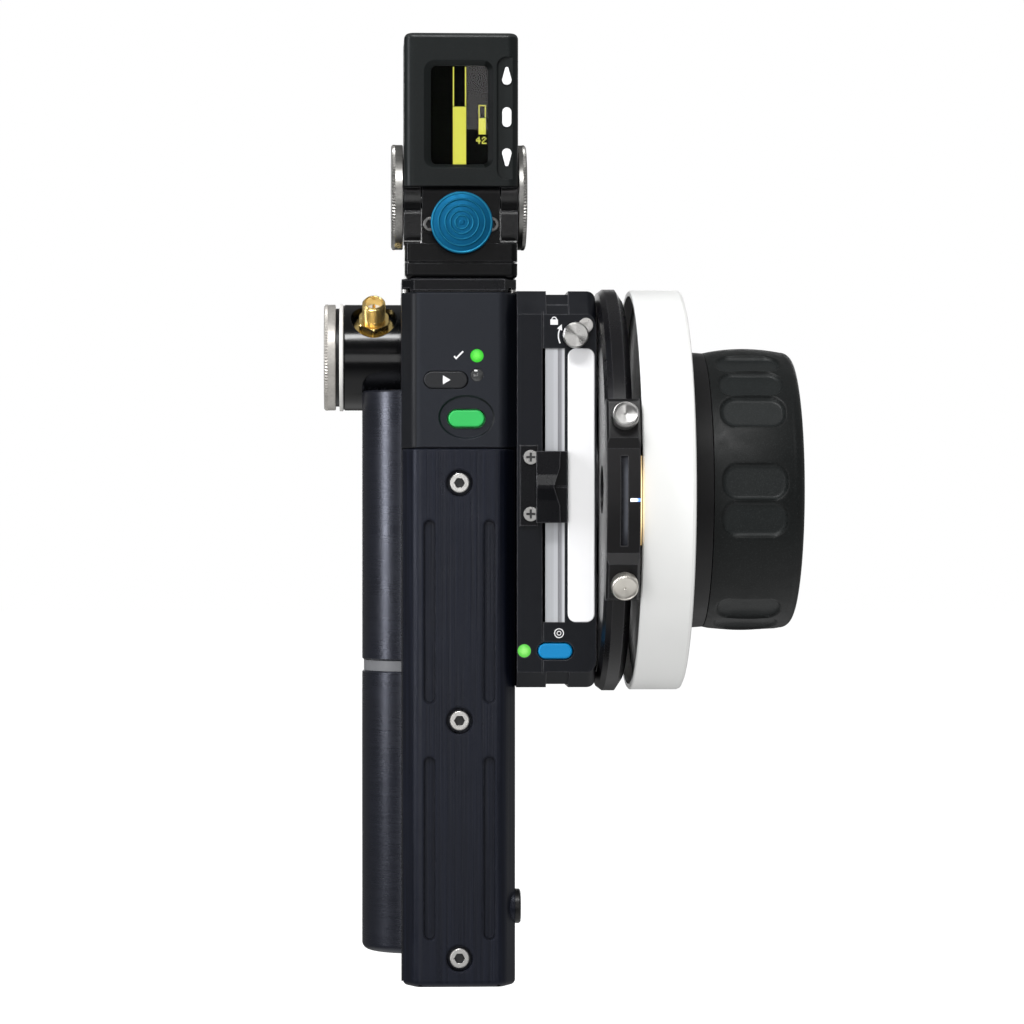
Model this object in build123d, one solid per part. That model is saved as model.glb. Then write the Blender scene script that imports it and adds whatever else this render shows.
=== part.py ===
# Hand unit for remote lens control: an upright grip with a control panel, a battery
# tube behind it, a cross tube with the antenna socket, a side module with a linear
# slider, a large rubber hand wheel with a white marking ring, and a tilting display.
# Millimetres. X to the right, Y away from the operator, Z up.
from build123d import *
import math
import os

os.makedirs("parts", exist_ok=True)

# ---------------------------------------------------------------- driving sizes
GRIP_BASE_Y = 11.0      # all solids are moved by this along Y, so the origin is in the grip's foot
BODY_HALF = 15.2        # half width of the control panel housing
GRIP_HALF = 14.9        # half width of the grip cover
FRONT_Y = -22.0         # front of panel, grip and slider module (hand wheel axis is Y 0)
SPLIT_Y = -8.0          # parting plane between front covers and rear frame
REAR_Y = 8.0            # back of the rear frame
FACET_X, FACET_Y = 3.17, 5.5   # slanted facets along the upright front corners
EDGE_R = 3.0            # rounding between facet and front
WALL = 2.2              # wall of the front covers
GRIP_TOP = 142.35       # top of the grip cover
GROOVE_D = 1.3          # depth of the finger grooves
PANEL_Z0, PANEL_Z1 = 142.6, 183.7

SCREW_Z = (7.7, 70.5, 133.3)   # grip screws
HEAD_R, HEAD_H, SHANK_R, CBORE_R = 2.65, 2.4, 1.5, 3.5

READY_XZ = (4.6, 166.9)
RUN_LED_XZ = (4.6, 161.8)
LED_R = 1.75
RUN_BTN = (-3.6, 160.5, 11.7, 4.6)     # x, z, width, height
START_BTN = (1.8, 150.3, 9.5, 4.4)
LENS_BTN = (25.3, 88.9, 9.0, 4.0)
LENS_LED_XZ = (17.1, 88.95)
BTN_GAP = 0.1
START_GAP = 0.4         # wider dark gap round the start and lens buttons
DISH_BEVEL = 0.45
RIM_W = 1.0             # toothed outer rim of the cap and the tilt knobs
BTN_TRAVEL = 0.6
DISH = (1.85, 150.7, 14.0, 10.8, 0.6)  # oval recess around the start button

BAT_X, BAT_Y, BAT_R = -11.2, 8.0, 14.5
BAT_Z0, BAT_Z1 = 6.85, 82.7
COLLAR_Z1 = 85.5
HOLDER_Z1 = 158.4
BAT_CLEAR = 0.3

TUBE_Y, TUBE_Z, TUBE_R = 20.0, 168.0, 14.6
TUBE_X0, TUBE_X1 = -30.8, 15.2
TUBE_BORE = 9.5
CAP_X0, CAP_X1, CAP_NECK_X = -36.1, -32.9, -31.9
ANT_X = -22.5
ANT_DIR = (0.0, -math.sqrt(0.5), math.sqrt(0.5))
ANT_R = 3.175           # 1/4-36 antenna thread
ANT_SEAT, ANT_HEX0, ANT_HEX1, ANT_TIP = 10.5, 11.1, 14.3, 20.5

DATA_Y, DATA_Z = -14.0, 20.7
DATA_BORE, DATA_BODY, DATA_FLANGE = 3.0, 3.9, 4.6

MOD_X0, MOD_X1 = 15.2, 36.2
MOD_Y1 = 22.0
MOD_Z0, MOD_Z1 = 79.1, 184.2
BEV_TOP, BEV_BOT, BEV_D = 6.3, 4.2, 4.0
MOD_R = 2.4             # rounding of the module's right ends
SEAM_X = 22.0
STRIP_Z0, STRIP_Z1 = 96.5, 168.9
TRACK_X0, TRACK_X1 = 22.7, 27.8
MARK_X0, MARK_X1, MARK_R = 28.6, 35.75, 2.2
SLIDER_Z = 132.3        # middle of the slider's travel
ROD_R, ROD_X, ROD_Y = 1.5, (20.6, 24.6), -13.0
LOCK_PIVOT = (33.4, 175.0)
LOCK_KNOB = (30.5, 172.2)

KNOB_Z = 131.5          # hand wheel axis, along X at Y 0
FLANGE_R = 54.15
RING_R, RING_WALL = 53.9, 1.5
RING_X0, RING_X1 = 46.1, 59.9
SPINDLE_R, BEARING_R = 5.0, 11.0
GRIP_X0, GRIP_X1 = 66.15, 90.0
DENT_X0, DENT_X1, DENT_W, DENT_FLOOR = 68.4, 85.1, 9.4, 36.75
DENTS = (4, 3, 2, 0, -1)     # used places in each run of eight
IDX_A0 = -3.0           # middle of the index carriage, degrees above the front
IDX_X0, IDX_X1 = 36.6, 45.2
IDX_SCREW_X = 41.2
IDX_SCREW_A = (18.0, -24.0)

MOUNT_SCREW_X, MOUNT_SCREW_Y = (-14.2, 14.2), -15.0
TOP_X = 0.5             # the tilting display sits this far right of the panel's middle
HINGE_Y, HINGE_Z = -5.0, 210.0
TONGUE_HALF, TONGUE_R = 10.3, 13.0
ARM_R = 12.9
CASE_HALF = 15.1
CASE_R = 2.8            # rounding of the case's upright front edges
CASE_Z0, CASE_Z1, CASE_Y1 = 211.7, 252.2, 2.0
AXLE_R = 3.0
TILT_R = 14.1
TILT_OUT = {-1: 18.4, 1: 17.6}   # outer faces of the left and right tilt knobs
ROCK_Z, ROCK_PIVOT_Y = 201.8, -12.5
KEY_X = 12.5
KEY_Z = (240.8, 229.9, 219.3)


# ---------------------------------------------------------------- helpers
def box(x0, x1, y0, y1, z0, z1):
    return Pos((x0 + x1) / 2, (y0 + y1) / 2, (z0 + z1) / 2) * Box(x1 - x0, y1 - y0, z1 - z0)


def cylx(r, x0, x1, y, z):
    return Pos((x0 + x1) / 2, y, z) * Rot(0, 90, 0) * Cylinder(r, x1 - x0)


def cyly(r, y0, y1, x, z):
    return Pos(x, (y0 + y1) / 2, z) * Rot(90, 0, 0) * Cylinder(r, y1 - y0)


def cylz(r, z0, z1, x, y):
    return Pos(x, y, (z0 + z1) / 2) * Cylinder(r, z1 - z0)


def outline(pts):
    """A closed outline, always drawn anticlockwise."""
    pts = list(pts)
    area = sum(a[0] * b[1] - b[0] * a[1] for a, b in zip(pts, pts[1:] + pts[:1]))
    return Polygon(*(pts if area > 0 else pts[::-1]), align=None)


def front(sk, y0, y1):
    """A flat outline drawn in X and Z, made solid from y0 to y1."""
    return extrude(Plane(origin=(0, y1, 0), x_dir=(1, 0, 0), z_dir=(0, -1, 0)) * sk, amount=y1 - y0)


def upright(pts, z0, z1):
    """A flat outline drawn in X and Y, made solid from z0 to z1."""
    return extrude(Plane(origin=(0, 0, z0), x_dir=(1, 0, 0), z_dir=(0, 0, 1)) * outline(pts), amount=z1 - z0)


def along_x(pts, x0, x1):
    """A flat outline drawn in Y and Z, made solid from x0 to x1."""
    return extrude(Plane(origin=(x0, 0, 0), x_dir=(0, 1, 0), z_dir=(1, 0, 0)) * outline(pts), amount=x1 - x0)


def revx(pts, y, z):
    """A turned piece about a line along X, from (x, radius) points."""
    f = Plane(origin=(0, y, z), x_dir=(1, 0, 0), z_dir=(0, -1, 0)) * outline(pts)
    return revolve(f, axis=Axis((0, y, z), (1, 0, 0)))


def pill(x, z, w, h):
    return Pos(x, z) * SlotOverall(w, h)


def tall_pill(x, z, w, h):
    return Pos(x, z) * Rot(0, 0, 90) * SlotOverall(h, w)


def drop(x, z, w, h, up, grow=0.0):
    """A key outline: round at one end and pointed at the other."""
    r = w / 2 + grow
    s = 1 if up else -1
    c = z - s * (h / 2 - w / 2)
    tip = z + s * (h / 2 + grow)
    sk = Pos(x, c) * Circle(r)
    pts = [(x - r * 0.94, c + s * r * 0.34), (x + r * 0.94, c + s * r * 0.34),
           (x + r * 0.34, tip - s * 0.25), (x - r * 0.34, tip - s * 0.25)]
    wing = outline(pts)
    return sk + wing + Pos(x, tip - s * 0.36 * r) * Circle(0.36 * r)


def knurled(r, depth, teeth):
    pts = []
    for i in range(teeth):
        a = 2 * math.pi * i / teeth
        b = 2 * math.pi * (i + 0.5) / teeth
        pts.append((r * math.cos(a), r * math.sin(a)))
        pts.append(((r - depth) * math.cos(b), (r - depth) * math.sin(b)))
    return Polygon(*pts, align=None)


def knurled_x(r, depth, teeth, x0, x1, y, z):
    return extrude(Plane(origin=(x0, y, z), x_dir=(0, 1, 0), z_dir=(1, 0, 0)) * knurled(r, depth, teeth), amount=x1 - x0)


def polar(a, r):
    a = math.radians(a)
    return (-r * math.cos(a), KNOB_Z + r * math.sin(a))


def sector(pts, a0, a1):
    """A turned piece about the hand wheel axis between two angles above the front."""
    s, c = math.sin(math.radians(a0)), math.cos(math.radians(a0))
    f = Plane(origin=(0, 0, KNOB_Z), x_dir=(1, 0, 0), z_dir=(0, -s, -c)) * outline(pts)
    return revolve(f, axis=Axis((0, 0, KNOB_Z), (-1, 0, 0)), revolution_arc=a1 - a0)


def upright_edges(s, x, y, tol=0.05):
    return [e for e in s.edges().filter_by(Axis.Z) if abs(abs(e.center().X) - x) < tol and abs(e.center().Y - y) < tol]


def faceted(half, y0, y1, z0, z1, edge=EDGE_R):
    """An upright block with slanted front corners, rounded where they meet the front."""
    b = upright([(-half, y1), (-half, y0 + FACET_Y), (-half + FACET_X, y0), (half - FACET_X, y0), (half, y0 + FACET_Y), (half, y1)], z0, z1)
    return fillet(upright_edges(b, half - FACET_X, y0), edge) if edge else b


def hollow(half, y0, y1, z0, z1):
    """The space inside such a block, one wall thickness in from its front and sides."""
    k = math.hypot(FACET_X, FACET_Y)
    x = half - FACET_X + (FACET_X - k) * WALL / FACET_Y
    xs = half - WALL
    ys = y0 + WALL + (xs - x) * FACET_Y / FACET_X
    return upright([(-xs, y1), (-xs, ys), (-x, y0 + WALL), (x, y0 + WALL), (xs, ys), (xs, y1)], z0, z1)


NODES = {}


def put(name, *solids):
    NODES[name] = [Pos(0, GRIP_BASE_Y, 0) * s for s in solids]


# ---------------------------------------------------------------- cutters shared by several pieces
holder_zone = cylz(BAT_R, COLLAR_Z1 - 0.2, HOLDER_Z1, BAT_X, BAT_Y)
battery_zone = cylz(BAT_R + BAT_CLEAR, -1, COLLAR_Z1 + 0.1, BAT_X, BAT_Y)
tube_zone = cylx(TUBE_R, TUBE_X0, TUBE_X1 + 0.01, TUBE_Y, TUBE_Z)

# ---------------------------------------------------------------- grip cover
g = faceted(GRIP_HALF, FRONT_Y, SPLIT_Y, 0, GRIP_TOP)
g = fillet([e for e in g.edges().filter_by_position(Axis.Z, -0.01, 0.01) if e.center().Y < SPLIT_Y - 0.1], 1.6)
top_edges = [e for e in g.edges().filter_by_position(Axis.Z, GRIP_TOP - 0.01, GRIP_TOP + 0.01) if e.center().Y < SPLIT_Y - 0.1]
g = chamfer(top_edges, 0.25)
g -= hollow(GRIP_HALF, FRONT_Y, SPLIT_Y + 1, WALL, GRIP_TOP - 2.0)
g += cylx(DATA_FLANGE + 0.3, GRIP_HALF - WALL - 0.5, GRIP_HALF, DATA_Y, DATA_Z)
for z in SCREW_Z:
    g += cyly(4.6, FRONT_Y + WALL, SPLIT_Y, 0, z)
    g -= cyly(CBORE_R, FRONT_Y - 1, FRONT_Y + 2.8, 0, z)
    g -= cyly(SHANK_R + 0.1, FRONT_Y + 2.7, SPLIT_Y + 1, 0, z)
for x in (-7.9, 7.9):
    for z0, z1 in ((75.2, 123.5), (12.7, 61.0)):
        g -= front(tall_pill(x, (z0 + z1) / 2, 3.0, z1 - z0), FRONT_Y - 1, FRONT_Y + GROOVE_D)
g -= cylx(DATA_BODY, GRIP_HALF - WALL - 1, GRIP_HALF + 1, DATA_Y, DATA_Z)
put("grip_cover", g)

# ---------------------------------------------------------------- control panel housing
p = faceted(BODY_HALF, FRONT_Y, SPLIT_Y, PANEL_Z0, PANEL_Z1)
p = chamfer([e for e in p.edges().filter_by_position(Axis.Z, PANEL_Z1 - 0.01, PANEL_Z1 + 0.01) if e.center().Y < SPLIT_Y - 0.1], 0.4)
p = chamfer([e for e in p.edges().filter_by_position(Axis.Z, PANEL_Z0 - 0.01, PANEL_Z0 + 0.01) if e.center().Y < SPLIT_Y - 0.1], 0.25)
p -= hollow(BODY_HALF, FRONT_Y, SPLIT_Y + 1, PANEL_Z0 + WALL, PANEL_Z1 - WALL)
for x in MOUNT_SCREW_X:
    p -= cylz(0.6, PANEL_Z1 - 1.6, PANEL_Z1 + 1, x, MOUNT_SCREW_Y)
p -= front(Pos(DISH[0], DISH[1]) * Ellipse(DISH[2] / 2, DISH[3] / 2), FRONT_Y - 1, FRONT_Y + DISH[4])
p -= loft([Plane(origin=(0, FRONT_Y + DISH_BEVEL, 0), x_dir=(1, 0, 0), z_dir=(0, -1, 0)) * (Pos(DISH[0], DISH[1]) * Ellipse(DISH[2] / 2, DISH[3] / 2)),
           Plane(origin=(0, FRONT_Y - 0.05, 0), x_dir=(1, 0, 0), z_dir=(0, -1, 0)) * (Pos(DISH[0], DISH[1]) * Ellipse(DISH[2] / 2 + 0.5, DISH[3] / 2 + 0.5))])
for b, gap in ((RUN_BTN, BTN_GAP), (START_BTN, START_GAP)):
    p -= front(pill(b[0], b[1], b[2] + 2 * gap, b[3] + 2 * gap), FRONT_Y - 1, FRONT_Y + WALL + 1)
for x, z in (READY_XZ, RUN_LED_XZ):
    p -= cyly(LED_R, FRONT_Y - 1, FRONT_Y + WALL + 1, x, z)
put("panel_housing", p)


def light_pipe(x, z, y_front, y_wall, y_end):
    sag = 3.2 - math.sqrt(3.2 ** 2 - LED_R ** 2)
    half = 3.2 - math.sqrt(3.2 ** 2 - (LED_R / 2) ** 2)
    ln = ThreePointArc((0, y_front), (LED_R / 2, y_front + half), (LED_R, y_front + sag))
    ln += Polyline((LED_R, y_front + sag), (LED_R, y_wall), (1.3, y_wall), (1.3, y_end), (0, y_end), (0, y_front))
    return revolve(Plane(origin=(x, 0, z), x_dir=(1, 0, 0), z_dir=(0, 0, 1)) * make_face(ln.edges()), axis=Axis((x, 0, z), (0, 1, 0)))


PANEL_BOARD_Y = -17.0
put("ready_led", light_pipe(*READY_XZ, FRONT_Y - 0.3, FRONT_Y + WALL, PANEL_BOARD_Y))
put("run_led", light_pipe(*RUN_LED_XZ, FRONT_Y - 0.3, FRONT_Y + WALL, PANEL_BOARD_Y))


def button(b, y_front, y_wall):
    cap = front(pill(b[0], b[1], b[2], b[3]), y_front, y_wall + 0.1)
    cap = fillet(cap.edges().filter_by_position(Axis.Y, y_front - 0.01, y_front + 0.01), 0.45)
    return cap + front(pill(b[0], b[1], b[2] + 1.4, b[3] + 1.4), y_wall + 0.05, y_wall + 0.8)


put("run_button", button(RUN_BTN, FRONT_Y - 0.25, FRONT_Y + WALL))
put("start_button", button(START_BTN, FRONT_Y - 0.35, FRONT_Y + WALL))

board = box(-11.5, 11.5, PANEL_BOARD_Y, PANEL_BOARD_Y + 1.4, 146.0, 180.0)
board += box(-8, 2, PANEL_BOARD_Y + 1.4, PANEL_BOARD_Y + 3.0, 150, 160)
board += box(-12.9, -11.5, PANEL_BOARD_Y, PANEL_BOARD_Y + 1.4, 168.0, 174.0)
board += box(11.5, 12.9, PANEL_BOARD_Y, PANEL_BOARD_Y + 1.4, 168.0, 174.0)
board &= hollow(BODY_HALF, FRONT_Y, SPLIT_Y + 1, PANEL_Z0 + WALL, PANEL_Z1 - WALL)
put("panel_board", board)

SWITCH_Y = PANEL_BOARD_Y - 1.2


def switch(x, z, y_board):
    return box(x - 2.2, x + 2.2, y_board - 0.9, y_board, z - 2.2, z + 2.2) + cyly(1.1, y_board - 1.2, y_board - 0.9, x, z)


# ---------------------------------------------------------------- rear frame with tube channels
f = box(-BODY_HALF, BODY_HALF, SPLIT_Y, REAR_Y, 0, PANEL_Z1)
f = fillet([e for e in f.edges().filter_by(Axis.Z) if e.center().Y > REAR_Y - 0.1 and e.center().X > 0], 3.0)
f -= battery_zone
f -= holder_zone
f -= tube_zone
f -= box(4.6, 13.0, SPLIT_Y - 1, 5.5, 3.0, 150.0)
for z in SCREW_Z:
    f -= cyly(SHANK_R, SPLIT_Y - 1, -4.0, 0, z)
put("grip_frame", f)

screws = []
for z in SCREW_Z:
    s = cyly(HEAD_R, FRONT_Y + 2.8 - HEAD_H, FRONT_Y + 2.8, 0, z)
    s = fillet(s.edges().filter_by_position(Axis.Y, FRONT_Y + 2.8 - HEAD_H - 0.01, FRONT_Y + 2.8 - HEAD_H + 0.01), 0.35)
    s += cyly(SHANK_R, FRONT_Y + 2.8, -4.0, 0, z)
    s -= front(Pos(0, z) * RegularPolygon(1.45, 6), FRONT_Y - 1, FRONT_Y + 2.8 - HEAD_H + 1.7)
    screws.append(s)
put("grip_screws", *screws)

mb = box(-11.5, 4.0, -11.4, -9.8, 28.0, 128.0)
mb -= cyly(5.0, -13, -9, 0, SCREW_Z[1])
mb += box(-10, -2, -12.6, -11.4, 84, 92) + box(-9, -1, -13.0, -11.4, 100, 112) + box(-10, 2, -12.4, -11.4, 40, 56)
mb += box(-12.7, -11.5, -11.4, -9.8, 60, 66) + box(-12.7, -11.5, -11.4, -9.8, 100, 106)
put("main_board", mb)

# ---------------------------------------------------------------- data socket in the grip's right side
ds = cylx(DATA_BODY, 6.0, GRIP_HALF, DATA_Y, DATA_Z) + cylx(DATA_FLANGE, GRIP_HALF, GRIP_HALF + 1.5, DATA_Y, DATA_Z)
ds = chamfer(ds.edges().filter_by_position(Axis.X, GRIP_HALF + 1.49, GRIP_HALF + 1.51), 0.4)
ds -= cylx(DATA_BORE, 9.0, GRIP_HALF + 3, DATA_Y, DATA_Z)
for k in range(5):
    a = math.radians(72 * k + 90)
    ds -= cylx(0.3, 7.0, 9.5, DATA_Y + 1.6 * math.cos(a), DATA_Z + 1.6 * math.sin(a))
put("data_socket", ds)

# ---------------------------------------------------------------- cross tube with antenna socket
ant = Plane(origin=(ANT_X, TUBE_Y, TUBE_Z), x_dir=(1, 0, 0), z_dir=ANT_DIR)


def ant_cyl(r, h0, h1):
    return extrude(ant.offset(h0) * Circle(r), amount=h1 - h0)


t = revx([(TUBE_X0, TUBE_BORE), (TUBE_X0, TUBE_R - 0.4), (TUBE_X0 + 0.4, TUBE_R), (TUBE_X1 - 1.5, TUBE_R),
          (TUBE_X1, TUBE_R - 1.5), (TUBE_X1, 0), (TUBE_X1 - 3, 0), (TUBE_X1 - 3, TUBE_BORE)], TUBE_Y, TUBE_Z)
t -= ant_cyl(6.25, ANT_SEAT, 25)
t -= ant_cyl(3.0, 7.0, ANT_SEAT + 1)
put("antenna_tube", t)

put("tube_seal_ring", revx([(CAP_NECK_X, 10.0), (CAP_NECK_X, 14.55), (CAP_NECK_X + 0.2, 14.75), (TUBE_X0 - 0.2, 14.75),
                            (TUBE_X0, 14.55), (TUBE_X0, 10.0)], TUBE_Y, TUBE_Z))

c = knurled_x(TUBE_R, 0.3, 108, CAP_X0, CAP_X0 + RIM_W, TUBE_Y, TUBE_Z) + cylx(TUBE_R - 0.06, CAP_X0 + RIM_W, CAP_X1, TUBE_Y, TUBE_Z)
c &= revx([(CAP_X0, 0), (CAP_X0, TUBE_R - 0.5), (CAP_X0 + 0.5, TUBE_R + 0.1), (CAP_X1 - 0.3, TUBE_R + 0.1),
           (CAP_X1, TUBE_R - 0.3), (CAP_X1, 0)], TUBE_Y, TUBE_Z)
c += cylx(13.5, CAP_X1, CAP_NECK_X - 0.02, TUBE_Y, TUBE_Z)
c += cylx(TUBE_BORE - 0.08, CAP_NECK_X - 0.02, -25.5, TUBE_Y, TUBE_Z)
c -= cylx(7.0, -34.0, -25.0, TUBE_Y, TUBE_Z)
put("tube_cap", c)

sma = ant_cyl(5.6, ANT_SEAT, ANT_HEX0)
sma += extrude(ant.offset(ANT_HEX0) * RegularPolygon(8.0 / math.sqrt(3), 6), amount=ANT_HEX1 - ANT_HEX0)
sma += ant_cyl(ANT_R, ANT_HEX1, ANT_TIP)
sma += ant_cyl(2.95, 8.5, ANT_SEAT)
sma -= ant_cyl(2.3, 12.8, ANT_TIP + 1)
put("antenna_socket", sma, ant_cyl(0.45, 12.8, 19.6))
put("antenna_insulator", ant_cyl(2.3, 12.8, 17.6) - ant_cyl(0.45, 12.7, 18))

# ---------------------------------------------------------------- battery tube
h = cylz(BAT_R, COLLAR_Z1 + 0.1, HOLDER_Z1, BAT_X, BAT_Y)
h = chamfer(h.edges().filter_by_position(Axis.Z, HOLDER_Z1 - 0.01, HOLDER_Z1 + 0.01), 0.5)
h = chamfer(h.edges().filter_by_position(Axis.Z, COLLAR_Z1 + 0.09, COLLAR_Z1 + 0.11), 0.4)
h -= cylz(11.0, COLLAR_Z1 - 1, 98.0, BAT_X, BAT_Y)
h -= cylz(7.0, 97.0, 142.0, BAT_X, BAT_Y)
h -= cylx(TUBE_R, -60, 60, TUBE_Y, TUBE_Z)
put("battery_holder", h)

col = cylz(14.0, BAT_Z1, COLLAR_Z1, BAT_X, BAT_Y) + cylz(10.92, COLLAR_Z1, 95.0, BAT_X, BAT_Y)
col -= cylz(8.5, 86.0, 96.0, BAT_X, BAT_Y)
col += cylz(1.6, 86.0, 94.0, BAT_X - 4, BAT_Y) + cylz(1.6, 86.0, 94.0, BAT_X + 4, BAT_Y)
put("battery_collar", col)

bs = cylz(BAT_R, BAT_Z0, BAT_Z1, BAT_X, BAT_Y)
bs = fillet(bs.edges().filter_by_position(Axis.Z, BAT_Z0 - 0.01, BAT_Z0 + 0.01), 2.0)
bs = chamfer(bs.edges().filter_by_position(Axis.Z, BAT_Z1 - 0.01, BAT_Z1 + 0.01), 0.4)
bs -= cylz(12.5, BAT_Z0 + 2.5, BAT_Z1 - 2.0, BAT_X, BAT_Y)
put("battery_shell", bs)
put("battery_cell", cylz(12.4, BAT_Z0 + 2.6, 74.5, BAT_X, BAT_Y) + cylz(4.0, 74.5, 76.0, BAT_X, BAT_Y))

# ---------------------------------------------------------------- slider module
prof = [(FRONT_Y, MOD_Z0 + BEV_BOT), (FRONT_Y + BEV_D, MOD_Z0), (MOD_Y1 - BEV_D, MOD_Z0), (MOD_Y1, MOD_Z0 + BEV_BOT),
        (MOD_Y1, MOD_Z1 - BEV_TOP), (MOD_Y1 - BEV_D, MOD_Z1), (FRONT_Y + BEV_D, MOD_Z1), (FRONT_Y, MOD_Z1 - BEV_TOP)]
m = along_x(prof, MOD_X0, MOD_X1)
m = fillet([e for e in m.edges() if e.center().X > MOD_X1 - 0.01 and not MOD_Z0 + BEV_BOT < e.center().Z < MOD_Z1 - BEV_TOP], MOD_R)
m -= box(17.6, 34.0, FRONT_Y + 3.0, 19.0, 82.5, 180.5)
# shallow channel over the top and bottom ends
ZT, ZB = MOD_Z1 - BEV_TOP, MOD_Z0 + BEV_BOT
k_t, k_b = BEV_D / BEV_TOP, BEV_D / BEV_BOT
m -= along_x([(-24, ZT), (FRONT_Y + 1.3, ZT), (FRONT_Y + 1.3 + BEV_D * 0.86, ZT + BEV_TOP * 0.86), (10, ZT + BEV_TOP * 0.86), (10, 190), (-24, 190)], 23.0, 28.9)
m -= along_x([(-24, ZB), (FRONT_Y + 1.3, ZB), (FRONT_Y + 1.3 + BEV_D * 0.8, ZB - BEV_BOT * 0.8), (10, ZB - BEV_BOT * 0.8), (10, 70), (-24, 70)], 23.0, 28.9)
# seam beside the track and the slot the carriage runs in
m -= box(SEAM_X - 0.15, SEAM_X + 0.15, FRONT_Y - 1, FRONT_Y + 0.5, ZB - 1, ZT + 1)
m -= box(SEAM_X, TRACK_X0, FRONT_Y - 1, FRONT_Y + 4, STRIP_Z0, STRIP_Z1)
m -= box(TRACK_X0, TRACK_X1, FRONT_Y - 1, FRONT_Y + 1.4, STRIP_Z0, STRIP_Z1)
ms = Pos((MARK_X0 + MARK_X1) / 2, (STRIP_Z0 + STRIP_Z1) / 2) * RectangleRounded(MARK_X1 - MARK_X0, STRIP_Z1 - STRIP_Z0, MARK_R)
m -= front(ms, FRONT_Y - 1, FRONT_Y + 0.7)
m -= front(pill(LENS_BTN[0], LENS_BTN[1], LENS_BTN[2] + 2 * START_GAP, LENS_BTN[3] + 2 * START_GAP), FRONT_Y - 1, FRONT_Y + 4)
m -= cyly(LED_R, FRONT_Y - 1, FRONT_Y + 3, *LENS_LED_XZ)
m -= cyly(1.3, FRONT_Y + 2, FRONT_Y + 4.6, *LENS_LED_XZ)
m -= cyly(1.0, FRONT_Y - 1, FRONT_Y + 2.4, *LOCK_PIVOT)
m -= cylx(16.0, 33.0, MOD_X1 + 1, 0, KNOB_Z)
for x in ROD_X:
    m -= cylz(ROD_R, 81.0, 182.0, x, ROD_Y)
m += box(17.0, 34.5, -17.6, -16.0, 82.0, 83.5)
m += box(21.5, 30.0, -16.4, -15.0, 82.0, 92.0)
put("slider_housing", m)

put("slider_track", box(TRACK_X0, TRACK_X1, FRONT_Y + 0.5, FRONT_Y + 1.4, STRIP_Z0, STRIP_Z1)
    - box(TRACK_X0 + 3.4, TRACK_X0 + 3.75, FRONT_Y, FRONT_Y + 0.75, STRIP_Z0 - 1, STRIP_Z1 + 1))
mk = front(ms, FRONT_Y - 0.15, FRONT_Y + 0.7)
put("marking_strip", fillet(mk.edges().filter_by_position(Axis.Y, FRONT_Y - 0.16, FRONT_Y - 0.14), 0.3))
put("guide_rods", *[cylz(ROD_R, 81.0, 182.0, x, ROD_Y) for x in ROD_X])
put("lens_led", light_pipe(*LENS_LED_XZ, FRONT_Y - 0.3, FRONT_Y + 3.0, FRONT_Y + 4.6))
put("lens_button", button(LENS_BTN, FRONT_Y - 0.35, FRONT_Y + 3.0))
put("tact_switches", switch(RUN_BTN[0], RUN_BTN[1], PANEL_BOARD_Y), switch(START_BTN[0], START_BTN[1], PANEL_BOARD_Y),
    switch(LENS_BTN[0], LENS_BTN[1], -16.4))

# carriage: wing plate outside, thin neck through the slot, block on the two rods
Z0, Z1 = SLIDER_Z - 10.5, SLIDER_Z + 11.1
cr = box(15.75, 20.7, FRONT_Y - 1.2, FRONT_Y - 0.15, Z0, Z1) + box(20.7, 27.6, FRONT_Y - 1.2, FRONT_Y - 0.15, Z0 + 1.4, Z1 - 2.0)
cr = chamfer([e for e in cr.edges().filter_by_position(Axis.Y, FRONT_Y - 1.21, FRONT_Y - 1.19) if e.center().X < 20.6], 0.25)
cr += box(22.1, 22.6, FRONT_Y - 0.2, -17.4, Z0 + 4, Z1 - 4)
cr += box(18.4, 26.8, -17.4, -8.8, Z0 + 1, Z1 - 1)
for x in ROD_X:
    cr -= cylz(ROD_R + 0.05, 100, 170, x, ROD_Y)
for z in (SLIDER_Z + 7.8, SLIDER_Z - 7.2):
    cr -= cyly(0.8, FRONT_Y - 2, FRONT_Y, 18.75, z)
put("slider_carriage", cr)

# thumb piece: index plate below, waisted pad above with a rib across its middle
zb0, zb1 = SLIDER_Z - 9.5, SLIDER_Z + 9.4
pt = box(20.75, 28.4, FRONT_Y - 2.0, FRONT_Y - 1.2, zb0, zb1) + box(27.6, 28.4, FRONT_Y - 1.25, FRONT_Y - 0.2, zb0, zb1)
pt -= box(24.4, 29, FRONT_Y - 2.5, FRONT_Y - 1.75, SLIDER_Z - 0.15, SLIDER_Z + 0.15)
side = [(FRONT_Y - 2.0, zb0), (FRONT_Y - 4.6, zb0), (FRONT_Y - 5.0, SLIDER_Z - 3.6), (FRONT_Y - 6.0, SLIDER_Z - 0.4),
        (FRONT_Y - 6.0, SLIDER_Z + 0.4), (FRONT_Y - 5.0, SLIDER_Z + 3.2), (FRONT_Y - 4.6, zb1), (FRONT_Y - 2.0, zb1)]
pad = along_x(side, 20.05, 27.0)
waist = outline([(20.05, zb0 - 1), (26.5, zb0 - 1), (26.3, SLIDER_Z - 5), (24.7, SLIDER_Z), (26.3, SLIDER_Z + 5), (26.5, zb1 + 1), (20.05, zb1 + 1)])
pad &= front(waist, FRONT_Y - 8, FRONT_Y)
put("slider_button", pt + pad)

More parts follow.
